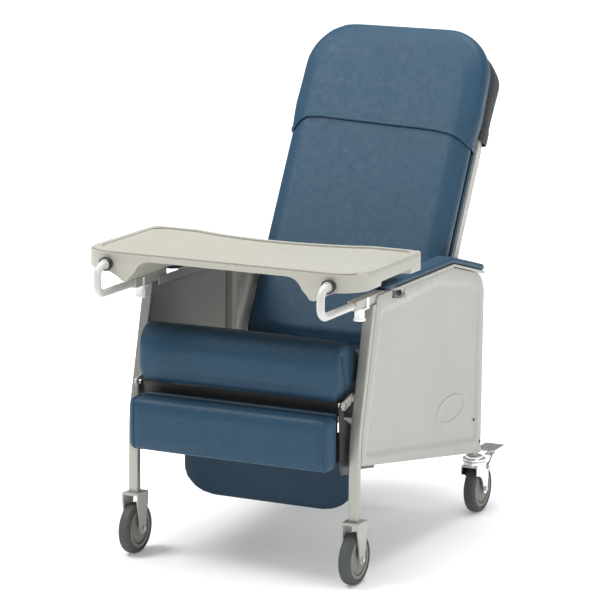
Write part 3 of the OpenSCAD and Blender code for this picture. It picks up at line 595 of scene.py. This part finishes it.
def finish_soft(o, node):
    m = o.modifiers.new("subdivision", "SUBSURF")
    m.levels = m.render_levels = 1
    applied(o)
    shade(o.data, 180)
    o.data.materials.clear()
    o.data.materials.append(MATS["vinyl"])
    own(o, BODY_OF[node], "vinyl", node)
    return o


def nearest_on(o):
    bm = bmesh.new()
    bm.from_mesh(o.data)
    tree = BVHTree.FromBMesh(bm)
    bm.free()
    return tree


def seam(name, o, points, radius, lift, body, slot="vinyl", sides=8):
    """A welt laid on a cushion: each point goes to the nearest skin, lifted off it."""
    tree = nearest_on(o)
    path = []
    for p in points:
        at, normal, _, _ = tree.find_nearest(Vector(p))
        path.append(at + normal * lift)
    for _ in range(3):
        path = [path[0]] + [(a + b * 2 + c) / 4 for a, b, c in zip(path, path[1:], path[2:])] + [path[-1]]
    return own(tube(name, path, radius, MATS[slot], sides), body, slot)


def polyline(points, step=0.004):
    out = []
    pts = [Vector(p) for p in points]
    for a, b in zip(pts, pts[1:]):
        n = max(1, int((b - a).length / step))
        out += [a.lerp(b, i / n) for i in range(n)]
    return out + [pts[-1]]


def groove(o, points, width, depth):
    """Presses a sewn line into a cushion along a polyline."""
    line = np.array([list(p) for p in polyline(points, 0.003)])
    me = o.data
    co = coords(me)
    no = point_normals(me)
    lo, hi = line.min(0) - 4 * width, line.max(0) + 4 * width
    near = np.where(((co > lo) & (co < hi)).all(1))[0]
    for k in near:
        d = np.sqrt(((line - co[k]) ** 2).sum(1).min())
        co[k] -= no[k] * depth * math.exp(-(d / width) ** 2)
    set_coords(me, co)


def bumps(o, scale, size, seed=0.0):
    """Small swells and creases, as a soft noise along the normals."""
    me = o.data
    co = coords(me)
    no = point_normals(me)
    off = Vector((seed, seed * 1.7, seed * 0.6))
    d = np.array([noise.fractal(Vector(c) * scale + off, 0.8, 2.0, 3) for c in co]) * size
    set_coords(me, co + no * d[:, None])


def grown(o, by):
    """Moves every point outwards along its normal."""
    set_coords(o.data, coords(o.data) + point_normals(o.data) * by)


def smooth_step(x, a, b):
    t = np.clip((x - a) / (b - a), 0, 1)
    return t * t * (3 - 2 * t)


# ------------------------------------------------------------------ floor and CAD finishes
def floor():
    bm = bmesh.new()
    bmesh.ops.create_grid(bm, x_segments=1, y_segments=1, size=25)
    n = Net("floor")
    n.colour(n.mix(n.ramp(n.noise(0.8, 2), 0.3, 0.7, 0, 1), (0.84, 0.85, 0.865), (0.87, 0.88, 0.89)))
    n.put("Roughness", 0.75)
    n.put("Specular IOR Level", 0.2)
    # Painted light: the floor glows, faintly under the chair and fully away from it, which washes the floor
    # white and lightens the chair's shadow.
    away = n.node("ShaderNodeVectorMath", operation="LENGTH")
    n.link(n.at, away.inputs[0])
    far = n.node("ShaderNodeMapRange", interpolation_type="SMOOTHSTEP")
    far.inputs["From Min"].default_value = 0.42
    far.inputs["From Max"].default_value = 1.10
    far.inputs["To Min"].default_value = 0.22
    n.link(away.outputs["Value"], far.inputs["Value"])
    n.put("Emission Color", (1, 1, 1, 1))
    n.link(n.math("MULTIPLY", far.outputs["Result"], 0.75), n.bsdf.inputs["Emission Strength"])
    o = from_bmesh("floor", bm, n.m)


def dress_frame():
    for name, o in NODES.items():
        mat = MATS["fork_paint" if name == "front_forks" else SLOT_OF[name]]
        if not o.data.materials:
            o.data.materials.append(mat)
        for s in o.material_slots:
            s.material = mat


floor()
dress_frame()

for node, name, width in (
        ("rear_posts", "posts", 1.2), ("lower_rails", "bottom_rails", 1.6),
        ("arm_rails", "arm_rail_tubes", 1.2), ("rail_mouths", "rail_ends", 0.5),
        ("rear_gussets", "gussets", 0.8),
        ("front_forks", "fork_plates", 1.1), ("caster_fork_left", "castor_fork_l", 1.0),
        ("caster_fork_right", "castor_fork_r", 1.0), ("brake_pedal_left", "pedal_l", 0.9),
        ("brake_pedal_right", "pedal_r", 0.9), ("arm_plates", "arm_bases", 1.6),
        ("socket_inserts", "rail_plugs", 0.7), ("tray_sockets", "sockets", 1.0),
        ("clamp_shoes", "shoes", 0.9), ("clamp_knob_left", "knob_l", 0.7),
        ("clamp_knob_right", "knob_r", 0.7), ("back_brackets", "back_plates", 0.8),
        ("legrest_brackets", "leg_brackets", 0.7), ("legrest_plates", "leg_plates", 0.8),
        ("foot_arms", "foot_links", 0.6), ("panel_feet", "panel_angles", 1.0),
        ("seat_board", "seat_base", 1.5), ("foot_board", "foot_base", 1.5),
        ("panel_screws", "screws", 0.7)):
    refined(node, name, width * MM, 3)


# ------------------------------------------------------------------ front legs
def leg_path(lo, hi, depth, lean, bend, kink, steps=24):
    """Centre line of the bent leg in Y and Z, with its direction."""
    cz = kink - bend * math.tan(lean / 2)
    r = bend - depth / 2
    path = [(depth / 2, lo, 0.0)]
    path += [(bend - r * math.cos(a), cz + r * math.sin(a), a)
             for a in (lean * k / steps for k in range(steps + 1))]
    y, z, a = path[-1]
    path.append((y + (hi - z) * math.tan(a), hi, a))
    return path


def rounded_section(w, d, r, steps=6):
    pts = []
    for cx, cy, a0 in ((1, 1, 0), (-1, 1, 90), (-1, -1, 180), (1, -1, 270)):
        for k in range(steps + 1):
            a = math.radians(a0 + 90 * k / steps)
            pts.append((cx * (w / 2 - r) + r * math.cos(a), cy * (d / 2 - r) + r * math.sin(a)))
    return pts


def front_legs():
    lo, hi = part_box("front_legs")
    width, depth = 0.0254, 0.018
    section = rounded_section(width, depth, 0.0034)
    parts = []
    for s in (1, -1):
        rings = []
        for y, z, a in leg_path(lo.z, hi.z, depth, math.radians(13.3), 0.430, 0.350):
            level = z in (lo.z, hi.z)
            ring = []
            for u, v in section:
                dy, dz = v * math.cos(a), -v * math.sin(a)
                if level:
                    dy, dz = v / math.cos(a), 0.0
                ring.append((s * (hi.x - width / 2 + u), lo.y + y + dy, z + dz))
            rings.append(ring)
        parts.append(ring_mesh(f"leg_{s}", rings, MATS["leg_metal"], smooth=50))
    own(joined("leg_tubes", parts), "base", "leg_metal", "front_legs")


front_legs()


# ------------------------------------------------------------------ wheels
def wheel(side, place):
    tyre, hub = f"{place}_tyre_{side}", f"{place}_hub_{side}"
    lo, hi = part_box(tyre)
    at = (lo + hi) / 2
    r, w = (hi.z - lo.z) / 2, (hi.x - lo.x) / 2
    rim = (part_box(hub)[1].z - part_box(hub)[0].z) / 2
    round_r = 0.0105
    half = [(rim + 0.0002, w - 0.0016), (rim + 0.0008, w - 0.0004), (rim + 0.0020, w)]
    half += [(r - round_r + round_r * math.sin(a), w - round_r + round_r * math.cos(a))
             for a in (math.radians(90) * k / 9 for k in range(10))]
    half += [(r, w * 0.15), (r, 0.0)]
    profile = half + [(p, -h) for p, h in half[::-1][1:]]
    profile.append(profile[0])
    t = lathe(f"{place}_tread_{side}", profile, MATS["tyre"], at, "X", 96, 50)
    own(t, BODY_OF[tyre], "tyre", tyre)
    hw = w - 0.0006
    face = [(0.0041, hw + 0.0022), (0.0120, hw + 0.0022), (0.0132, hw + 0.0012), (0.0142, hw - 0.0016),
            (0.0160, hw - 0.0026), (0.0340, hw - 0.0030), (0.0352, hw - 0.0022), (0.0364, hw - 0.0022),
            (0.0372, hw - 0.0052), (0.0392, hw - 0.0052), (0.0400, hw - 0.0014), (0.0412, hw - 0.0004),
            (rim - 0.0022, hw - 0.0004), (rim - 0.0010, hw - 0.0010), (rim, hw - 0.0024)]
    prof = face + [(p, -h) for p, h in face[::-1]] + [face[0]]
    h = lathe(f"{place}_disc_{side}", prof, MATS["hub_plastic"], at, "X", 96, 30)
    own(h, BODY_OF[hub], "hub_plastic", hub)


for side in ("left", "right"):
    for place in ("front", "rear"):
        wheel(side, place)


def castor_races():
    """Pressed ring stack over each castor fork."""
    lo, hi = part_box("caster_cups")
    parts = []
    x = hi.x - 0.031
    for s in (1, -1):
        at = Vector((s * x, (lo.y + hi.y) / 2, 0))
        top = hi.z - 0.0121
        stack = [(0.0, top), (0.0210, top), (0.0222, top - 0.0008), (0.0226, top - 0.0030),
                 (0.0226, top - 0.0052), (0.0290, top - 0.0058), (0.0306, top - 0.0070),
                 (0.0311, top - 0.0092), (0.0306, top - 0.0112), (0.0286, top - 0.0122),
                 (0.0280, top - 0.0140), (0.0, top - 0.0140)]
        parts.append(lathe(f"race_{s}", stack, MATS["caster_chrome"], at, "Z", 64, 30))
        stem = [(0.0, top + 0.012), (0.0055, top + 0.012), (0.0055, top - 0.001), (0.0, top - 0.001)]
        parts.append(lathe(f"stem_{s}", stem, MATS["caster_chrome"], at, "Z", 32, 30))
        pin = [(0.0, top - 0.0139), (0.0079, top - 0.0139), (0.0079, lo.z + 0.001), (0.0070, lo.z),
               (0.0, lo.z)]
        parts.append(lathe(f"pin_{s}", pin, MATS["caster_chrome"], at, "Z", 32, 30))
    own(joined("castor_races", parts), "base", "caster_chrome", "caster_cups")


castor_races()


# ------------------------------------------------------------------ side panels
def plane_loops(node, axis, level, tol=2e-5):
    """Closed loops that bound the faces of a CAD node lying in one plane."""
    bm = bmesh.new()
    bm.from_mesh(NODES[node].data)
    bmesh.ops.remove_doubles(bm, verts=bm.verts, dist=1e-5)
    bm.verts.index_update()
    flat = {f for f in bm.faces if all(abs(v.co[axis] - level) < tol for v in f.verts)}
    nxt = {}
    for f in flat:
        for e in f.edges:
            if sum(g in flat for g in e.link_faces) == 1:
                a, b = e.verts
                nxt.setdefault(a.index, []).append(b.index)
                nxt.setdefault(b.index, []).append(a.index)
    place = {v.index: v.co.copy() for v in bm.verts}
    bm.free()
    loops, seen = [], set()
    for start in sorted(nxt):
        if start in seen:
            continue
        loop, at, prev = [], start, None
        while at not in seen:
            seen.add(at)
            loop.append(place[at])
            step = [q for q in nxt[at] if q != prev and q not in seen]
            if not step:
                break
            prev, at = at, step[0]
        loops.append(loop)
    return sorted(loops, key=lambda q: -spread(q))


def spread(loop):
    ys, zs = [p.y for p in loop], [p.z for p in loop]
    return (max(ys) - min(ys)) * (max(zs) - min(zs))


def resampled(loop, step):
    pts = [Vector((p.y, p.z)) for p in loop]
    out = []
    for a, b in zip(pts, pts[1:] + pts[:1]):
        n = max(1, int((b - a).length / step))
        out += [a.lerp(b, k / n) for k in range(n)]
    return out


def inward(pts, d):
    """The outline moved inwards by d, for a mostly convex loop with rounded corners."""
    turn = sum(a.x * b.y - b.x * a.y for a, b in zip(pts, pts[1:] + pts[:1]))
    sign = 1 if turn > 0 else -1
    out = []
    n = len(pts)
    for i, p in enumerate(pts):
        t1, t2 = (p - pts[i - 1]).normalized(), (pts[(i + 1) % n] - p).normalized()
        n1, n2 = Vector((-t1.y, t1.x)), Vector((-t2.y, t2.x))
        m = n1 + n2
        m = m / max(0.35, m.length_squared / 2)
        out.append(p + m * d * sign)
    return out


def stepped(bm, rings, x):
    """Rings of (outline, level) joined into a skin; returns the vertex rows."""
    rows = [[bm.verts.new((x(h), p.x, p.y)) for p in pts] for pts, h in rings]
    for a, b in zip(rows, rows[1:]):
        for i in range(len(a)):
            j = (i + 1) % len(a)
            bm.faces.new((a[i], a[j], b[j], b[i]))
    return rows


def between(bm, outer, inner):
    edges = []
    for row in (outer, inner):
        for i in range(len(row)):
            a, b = row[i], row[(i + 1) % len(row)]
            edges.append(bm.edges.get((a, b)) or bm.edges.new((a, b)))
    bmesh.ops.triangle_fill(bm, edges=edges, use_beauty=True)


def side_panel(side):
    node = f"side_panel_{side}"
    lo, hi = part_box(node)
    s = 1 if side == "left" else -1
    out_x = hi.x if s > 0 else -lo.x
    thick = hi.x - lo.x
    loops = plane_loops(node, 0, s * out_x)
    rim = resampled(loops[0], 0.012)
    field = resampled(loops[1], 0.012)
    bm = bmesh.new()
    x = lambda h: s * (out_x + h)
    edge_r = 0.0012
    rows = stepped(bm, [(rim, -thick), (rim, -edge_r), (inward(rim, 0.3 * edge_r), -0.3 * edge_r),
                        (inward(rim, edge_r), 0)], x)
    bm.faces.new(rows[0])
    sink = PANEL_SINK + 0.0008
    steps = [(-0.0050, 0.0), (-0.0030, -0.06), (0.0005, -0.26), (0.0045, -0.55), (0.0085, -0.84),
             (0.0118, -0.97), (0.0145, -1.0)]
    slope = stepped(bm, [(inward(field, d), k * sink) for d, k in steps], x)
    between(bm, rows[-1], slope[0])
    oval = max(plane_loops_oval(node, s), key=len)
    centre = Vector((sum(p.x for p in oval) / len(oval), sum(p.y for p in oval) / len(oval)))
    boss = [(-0.0030, 0.0), (-0.0016, 0.10), (0.0, 0.45), (0.0012, 0.85), (0.0026, 1.0), (0.0044, 0.92),
            (0.0058, 0.60), (0.0074, 0.32), (0.0092, 0.25)]
    rise = 0.0020
    ov = stepped(bm, [(inward(oval, d), -sink + k * rise) for d, k in boss], x)
    between(bm, slope[-1], ov[0])
    cap = bm.verts.new((x(-sink + 0.25 * rise), centre.x, centre.y))
    for i in range(len(ov[-1])):
        bm.faces.new((ov[-1][i], ov[-1][(i + 1) % len(ov[-1])], cap))
    o = from_bmesh(f"panel_skin_{side}", bm, MATS["panel_plastic"], 50)
    own(o, "base", "panel_plastic", node)


def plane_loops_oval(node, s):
    """The oval boss's outline, from the loops at its own level."""
    lo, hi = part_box(node)
    level = s * ((hi.x if s > 0 else -lo.x) - PANEL_SINK)
    found = []
    for loop in plane_loops(node, 0, level):
        ys, zs = [p.y for p in loop], [p.z for p in loop]
        w, h = max(ys) - min(ys), max(zs) - min(zs)
        if 0.10 < w < 0.25 and 0.04 < h < 0.12:
            found.append(resampled(loop, 0.006))
    return found


for side in ("left", "right"):
    side_panel(side)


# ------------------------------------------------------------------ tray and its arms
def tray():
    refined("tray", "tray_shell", 0.0024, 4, angle=24)


def tray_arms():
    lo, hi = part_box("tray_arms")
    r = 0.0095
    bend = 0.027
    x_top, z_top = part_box("grommets")[1].x - 0.017, (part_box("grommets")[0].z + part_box("grommets")[1].z) / 2
    x_low, z_low = hi.x - r, lo.z + r
    y_front = lo.y + r
    y_top, y_low = Y0 + 0.058, hi.y
    parts = []
    down = Vector((x_low - x_top, 0, z_low - z_top))
    length = down.length
    down.normalize()
    for s in (1, -1):
        top, low = Vector((x_top, 0, z_top)), Vector((x_low, 0, z_low))
        path = [top + Vector((0, y_top, 0)), top + Vector((0, y_front + bend, 0))]
        c1 = top + Vector((0, y_front + bend, 0)) + down * bend
        c2 = top + Vector((0, y_front + bend, 0)) + down * (length - bend)
        back = Vector((0, -1, 0))
        for k in range(1, 17):
            a = math.pi / 2 * k / 16
            path.append(c1 - down * bend * math.cos(a) + back * bend * math.sin(a))
        for k in range(0, 17):
            a = math.pi / 2 * k / 16
            path.append(c2 + back * bend * math.cos(a) + down * bend * math.sin(a))
        path.append(low + Vector((0, y_low, 0)))
        path = [Vector((s * p.x, p.y, p.z)) for p in path]
        parts.append(tube(f"arm_{s}", path, r, MATS["arm_paint"], 28))
    own(joined("tray_tubes", parts), "tray", "arm_paint", "tray_arms")


def grommets():
    """Black rim with a pale sleeve inside it where each tube enters the tray."""
    lo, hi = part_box("grommets")
    x, z = hi.x - 0.017, (lo.z + hi.z) / 2
    front = lo.y
    rims, sleeves = [], []
    for s in (1, -1):
        at = Vector((s * x, front, z))
        rim = [(0.0128, -0.0160), (0.0128, -0.0030), (0.0134, -0.0008), (0.0148, 0.0), (0.0162, -0.0008),
               (0.0168, -0.0030), (0.0168, -0.0100), (0.0160, -0.0126), (0.0150, -0.0160)]
        rims.append(lathe(f"rim_{s}", rim + [rim[0]], MATS["black_rubber"], at, "-Y", 64, 50))
        sleeve = [(0.0096, -0.0200), (0.0096, 0.0012), (0.0104, 0.0022), (0.0118, 0.0018),
                  (0.0126, -0.0004), (0.0126, -0.0200)]
        sleeves.append(lathe(f"sleeve_{s}", sleeve + [sleeve[0]], MATS["arm_paint"], at, "-Y", 64, 50))
    own(joined("grommet_rims", rims), "tray", "black_rubber", "grommets")
    own(joined("grommet_sleeves", sleeves), "tray", "arm_paint")


tray()
tray_arms()
grommets()


# ------------------------------------------------------------------ cushions
def in_back(co):
    m = np.array(BACK.inverted())
    return co @ m[:3, :3].T + m[:3, 3]


def back_cushion():
    def hold(co):
        q = in_back(co)
        return 1 - smooth_step(q[:, 1], BACK_THICK - 0.030, BACK_THICK - 0.006)

    return cushion("back_pad", "back_cushion", (0.001, 0.003, 0.0), 0.021, 0.0060, 4, 0.006,
                   local=BACK, hold=hold, soft=3)


HEM = ((-0.239, 0.417), (-0.225, 0.440), (-0.205, 0.452), (-0.165, 0.455), (-0.123, 0.453), (0.0, 0.448),
       (0.060, 0.4455), (0.118, 0.444), (0.160, 0.441), (0.198, 0.436), (0.225, 0.428), (0.250, 0.414))


def hem_at(x):
    return np.interp(x, [p[0] for p in HEM], [p[1] for p in HEM])


def walk(edges):
    """Vertices of an open or closed chain of edges, in order."""
    links = {}
    for e in edges:
        a, b = e.verts
        links.setdefault(a, []).append(b)
        links.setdefault(b, []).append(a)
    ends = [v for v, n in links.items() if len(n) == 1]
    at = min(ends or links, key=lambda v: (v.co.x, v.co.y, v.co.z))
    order, seen = [at], {at}
    while True:
        step = [n for n in links[order[-1]] if n not in seen]
        if not step:
            return order
        seen.add(step[0])
        order.append(step[0])


def slip_cover(pad):
    """Blue front part: the cushion's own skin, lifted off it, cut along its hem and at the back."""
    rear_y, rim_y = 0.052, 0.0845
    bm = bmesh.new()
    bm.from_mesh(pad.data)
    bmesh.ops.transform(bm, matrix=BACK.inverted(), verts=bm.verts)
    bm.normal_update()
    for v in bm.verts:
        rise = float(smooth_step(v.co.z - float(hem_at(v.co.x)), -0.02, 0.09))
        v.co += v.normal * (0.0028 + 0.0080 * rise * (1 - v.normal.y ** 2))
    for v in bm.verts:
        v.co.z -= float(hem_at(v.co.x))
    geom = bm.verts[:] + bm.edges[:] + bm.faces[:]
    bmesh.ops.bisect_plane(bm, geom=geom, plane_co=(0, 0, 0), plane_no=(0, 0, -1), clear_outer=True)
    for v in bm.verts:
        v.co.z += float(hem_at(v.co.x))
    geom = bm.verts[:] + bm.edges[:] + bm.faces[:]
    bmesh.ops.bisect_plane(bm, geom=geom, plane_co=(0, rear_y, 0), plane_no=(0, 1, 0), clear_outer=True)
    rear = [e for e in bm.edges if e.is_boundary and all(abs(v.co.y - rear_y) < 1e-5 for v in e.verts)]
    for back_to, narrow in ((0.061, 0.997), (0.069, 0.990), (0.077, 0.982), (rim_y, 0.972)):
        out = bmesh.ops.extrude_edge_only(bm, edges=rear)["geom"]
        for v in (g for g in out if isinstance(g, bmesh.types.BMVert)):
            v.co.y = back_to
            v.co.x *= narrow
            v.co.z = max(0.0, v.co.z - 0.45) * narrow + min(0.45, v.co.z)
        rear = [g for g in out if isinstance(g, bmesh.types.BMEdge)]
    bm.normal_update()
    hem = [e for e in bm.edges if e.is_boundary and all(v.co.y < rim_y - 1e-4 for v in e.verts)]
    line = [(v.co.copy(), v.normal.copy()) for v in walk(hem)]
    bmesh.ops.transform(bm, matrix=BACK, verts=bm.verts)
    o = from_bmesh("slip_cover", bm, MATS["vinyl"], 180)
    own(o, "back", "vinyl", "cover_front")
    return line


def hem_band(line):
    rows = []
    up = Vector((0, 0, 1))
    for h, off in ((0.0012, -0.0030), (-0.0012, -0.0012), (-0.0014, 0.0006), (-0.0002, 0.0018),
                   (0.0020, 0.0021), (0.0075, 0.0020), (0.0092, 0.0014), (0.0098, 0.0001)):
        row = []
        for p, n in line:
            u = (up - n * up.dot(n)).normalized()
            row.append(BACK @ (p + u * h + n * off))
        rows.append(row)
    own(ring_mesh("hem_band", rows, MATS["vinyl"], closed=False, smooth=180), "back", "vinyl")
    bm = bmesh.new()
    run = 0.0
    for (a, n), (b, _) in zip(line, line[1:]):
        run += (b - a).length
        if run < 0.0046:
            continue
        run = 0.0
        t = (b - a).normalized()
        u = (up - n * up.dot(n)).normalized()
        mid = a + u * 0.0074 + n * 0.0023
        w = n.cross(t)
        ends = [mid - t * 0.0014, mid + t * 0.0014]
        loops = []
        for e in ends:
            loops.append([bm.verts.new(BACK @ (e + w * math.cos(q) * 0.00045 + n * math.sin(q) * 0.0004))
                          for q in (math.pi * k / 3 for k in range(6))])
        for i in range(6):
            bm.faces.new((loops[0][i], loops[0][(i + 1) % 6], loops[1][(i + 1) % 6], loops[1][i]))
        bm.faces.new(loops[0][::-1])
        bm.faces.new(loops[1])
    own(from_bmesh("hem_stitches", bm, MATS["vinyl"]), "back", "vinyl")


def rear_cover():
    """Dark rear part: a soft bag over the push handle, open below and towards the cushion."""
    bm = envelope("cover_rear", True)
    o = from_bmesh("rear_bag", bm, MATS["dark_vinyl"], 180)
    remeshed(o, 0.006)
    smoothed(o.data, 9)
    bumps(o, 9.0, 0.0022, 3.0)
    grown(o, 0.0026)
    bm = bmesh.new()
    bm.from_mesh(o.data)
    bmesh.ops.transform(bm, matrix=BACK.inverted(), verts=bm.verts)
    front_y = 0.0865
    for co, no in (((0, 0, 0.4535), (0, 0, -1)), ((0, front_y, 0), (0, -1, 0))):
        geom = bm.verts[:] + bm.edges[:] + bm.faces[:]
        bmesh.ops.bisect_plane(bm, geom=geom, plane_co=co, plane_no=no, clear_outer=True)
    rim = [e for e in bm.edges if e.is_boundary and all(abs(v.co.y - front_y) < 1e-5 for v in e.verts)]
    out = bmesh.ops.extrude_edge_only(bm, edges=rim)["geom"]
    for v in (g for g in out if isinstance(g, bmesh.types.BMVert)):
        v.co.y = 0.0800
        v.co.x *= 0.988
        v.co.z = 0.45 + (v.co.z - 0.45) * 0.988
    bmesh.ops.transform(bm, matrix=BACK, verts=bm.verts)
    me = o.data
    bm.to_mesh(me)
    bm.free()
    shade(me, 180)
    m = o.modifiers.new("thickness", "SOLIDIFY")
    m.thickness = 0.0016
    m.offset = -1
    own(o, "back", "dark_vinyl", "cover_rear")


pad = back_cushion()
finish_soft(pad, "back_cushion")
line = slip_cover(pad)
hem_band(line)
rear_cover()


def seat():
    lo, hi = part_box("seat_cushion")
    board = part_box("seat_board")[1].z

    def hold(co):
        low = smooth_step(co[:, 2], board + 0.012, board + 0.050)
        rear = 1 - smooth_step(co[:, 1], hi.y - 0.10, hi.y - 0.05)
        return low * rear

    o = cushion("seat_pad", "seat_cushion", (0.002, 0.001, 0.002), 0.010, 0.006, 4, 0.005,
                hold=hold, soft=2)
    co = coords(o.data)
    roll = 1 - smooth_step(co[:, 1], lo.y + 0.10, lo.y + 0.16)
    roll *= smooth_step(co[:, 2], lo.z + 0.012, lo.z + 0.045)
    co[:, 0] *= 1 + 0.026 * roll
    set_coords(o.data, co)
    for s in (1, -1):
        x = s * (hi.x + 0.006)
        groove(o, [(x, lo.y + 0.021, hi.z - 0.028), (x, lo.y + 0.028, hi.z - 0.065),
                   (x, lo.y + 0.042, lo.z + 0.030)], 0.0032, 0.016)
    finish_soft(o, "seat_cushion")
    return o


def calf():
    lo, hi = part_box("calf_pad")

    def hold(co):
        return 1 - smooth_step(co[:, 1], hi.y - 0.016, hi.y - 0.004)

    o = cushion("calf_cushion", "calf_pad", (0.002, 0.001, 0.002), 0.011, 0.0050, 3, 0.004,
                hold=hold, soft=3)
    co = coords(o.data)
    co[:, 0] *= 1 + 0.018 * (1 - smooth_step(co[:, 1], hi.y - 0.012, hi.y - 0.002))
    set_coords(o.data, co)
    for s in (1, -1):
        x = s * (hi.x - 0.018)
        groove(o, [(x, lo.y + 0.02, hi.z), (x, lo.y, hi.z - 0.012), (x, lo.y, lo.z + 0.012),
                   (x, lo.y + 0.02, lo.z)], 0.0022, 0.0030)
    finish_soft(o, "calf_pad")
    for s in (1, -1):
        x = s * (hi.x - 0.0115)
        pts = polyline([(x, hi.y - 0.01, hi.z + 0.01), (x, lo.y - 0.004, hi.z + 0.004),
                        (x, lo.y - 0.004, lo.z - 0.004), (x, hi.y - 0.01, lo.z - 0.01)], 0.006)
        seam(f"calf_welt_{'lr'[s < 0]}", o, pts, 0.0017, 0.0004, "legrest")


def calf_lip():
    o = cushion("calf_back", "calf_board", (-0.008, 0.0, 0.001), 0.0045, 0.0040, 0, 0.0, soft=2)
    finish_soft(o, "calf_board")


def foot():
    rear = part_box("foot_pad")[1].y

    def hold(co):
        return 1 - smooth_step(co[:, 1], rear - 0.010, rear - 0.003)

    o = cushion("foot_cushion", "foot_pad", (0.003, 0.002, 0.003), 0.009, 0.005, 3, 0.004,
                hold=hold, soft=3)
    finish_soft(o, "foot_pad")


def arm_pad(side):
    node = f"arm_pad_{side}"
    o = cushion(f"arm_cushion_{side}", node, (0.0005, -0.001, 0.0), 0.0055, 0.0040, 0, 0.0, soft=2)
    finish_soft(o, node)


seat()
calf()
calf_lip()
foot()
for side in ("left", "right"):
    arm_pad(side)
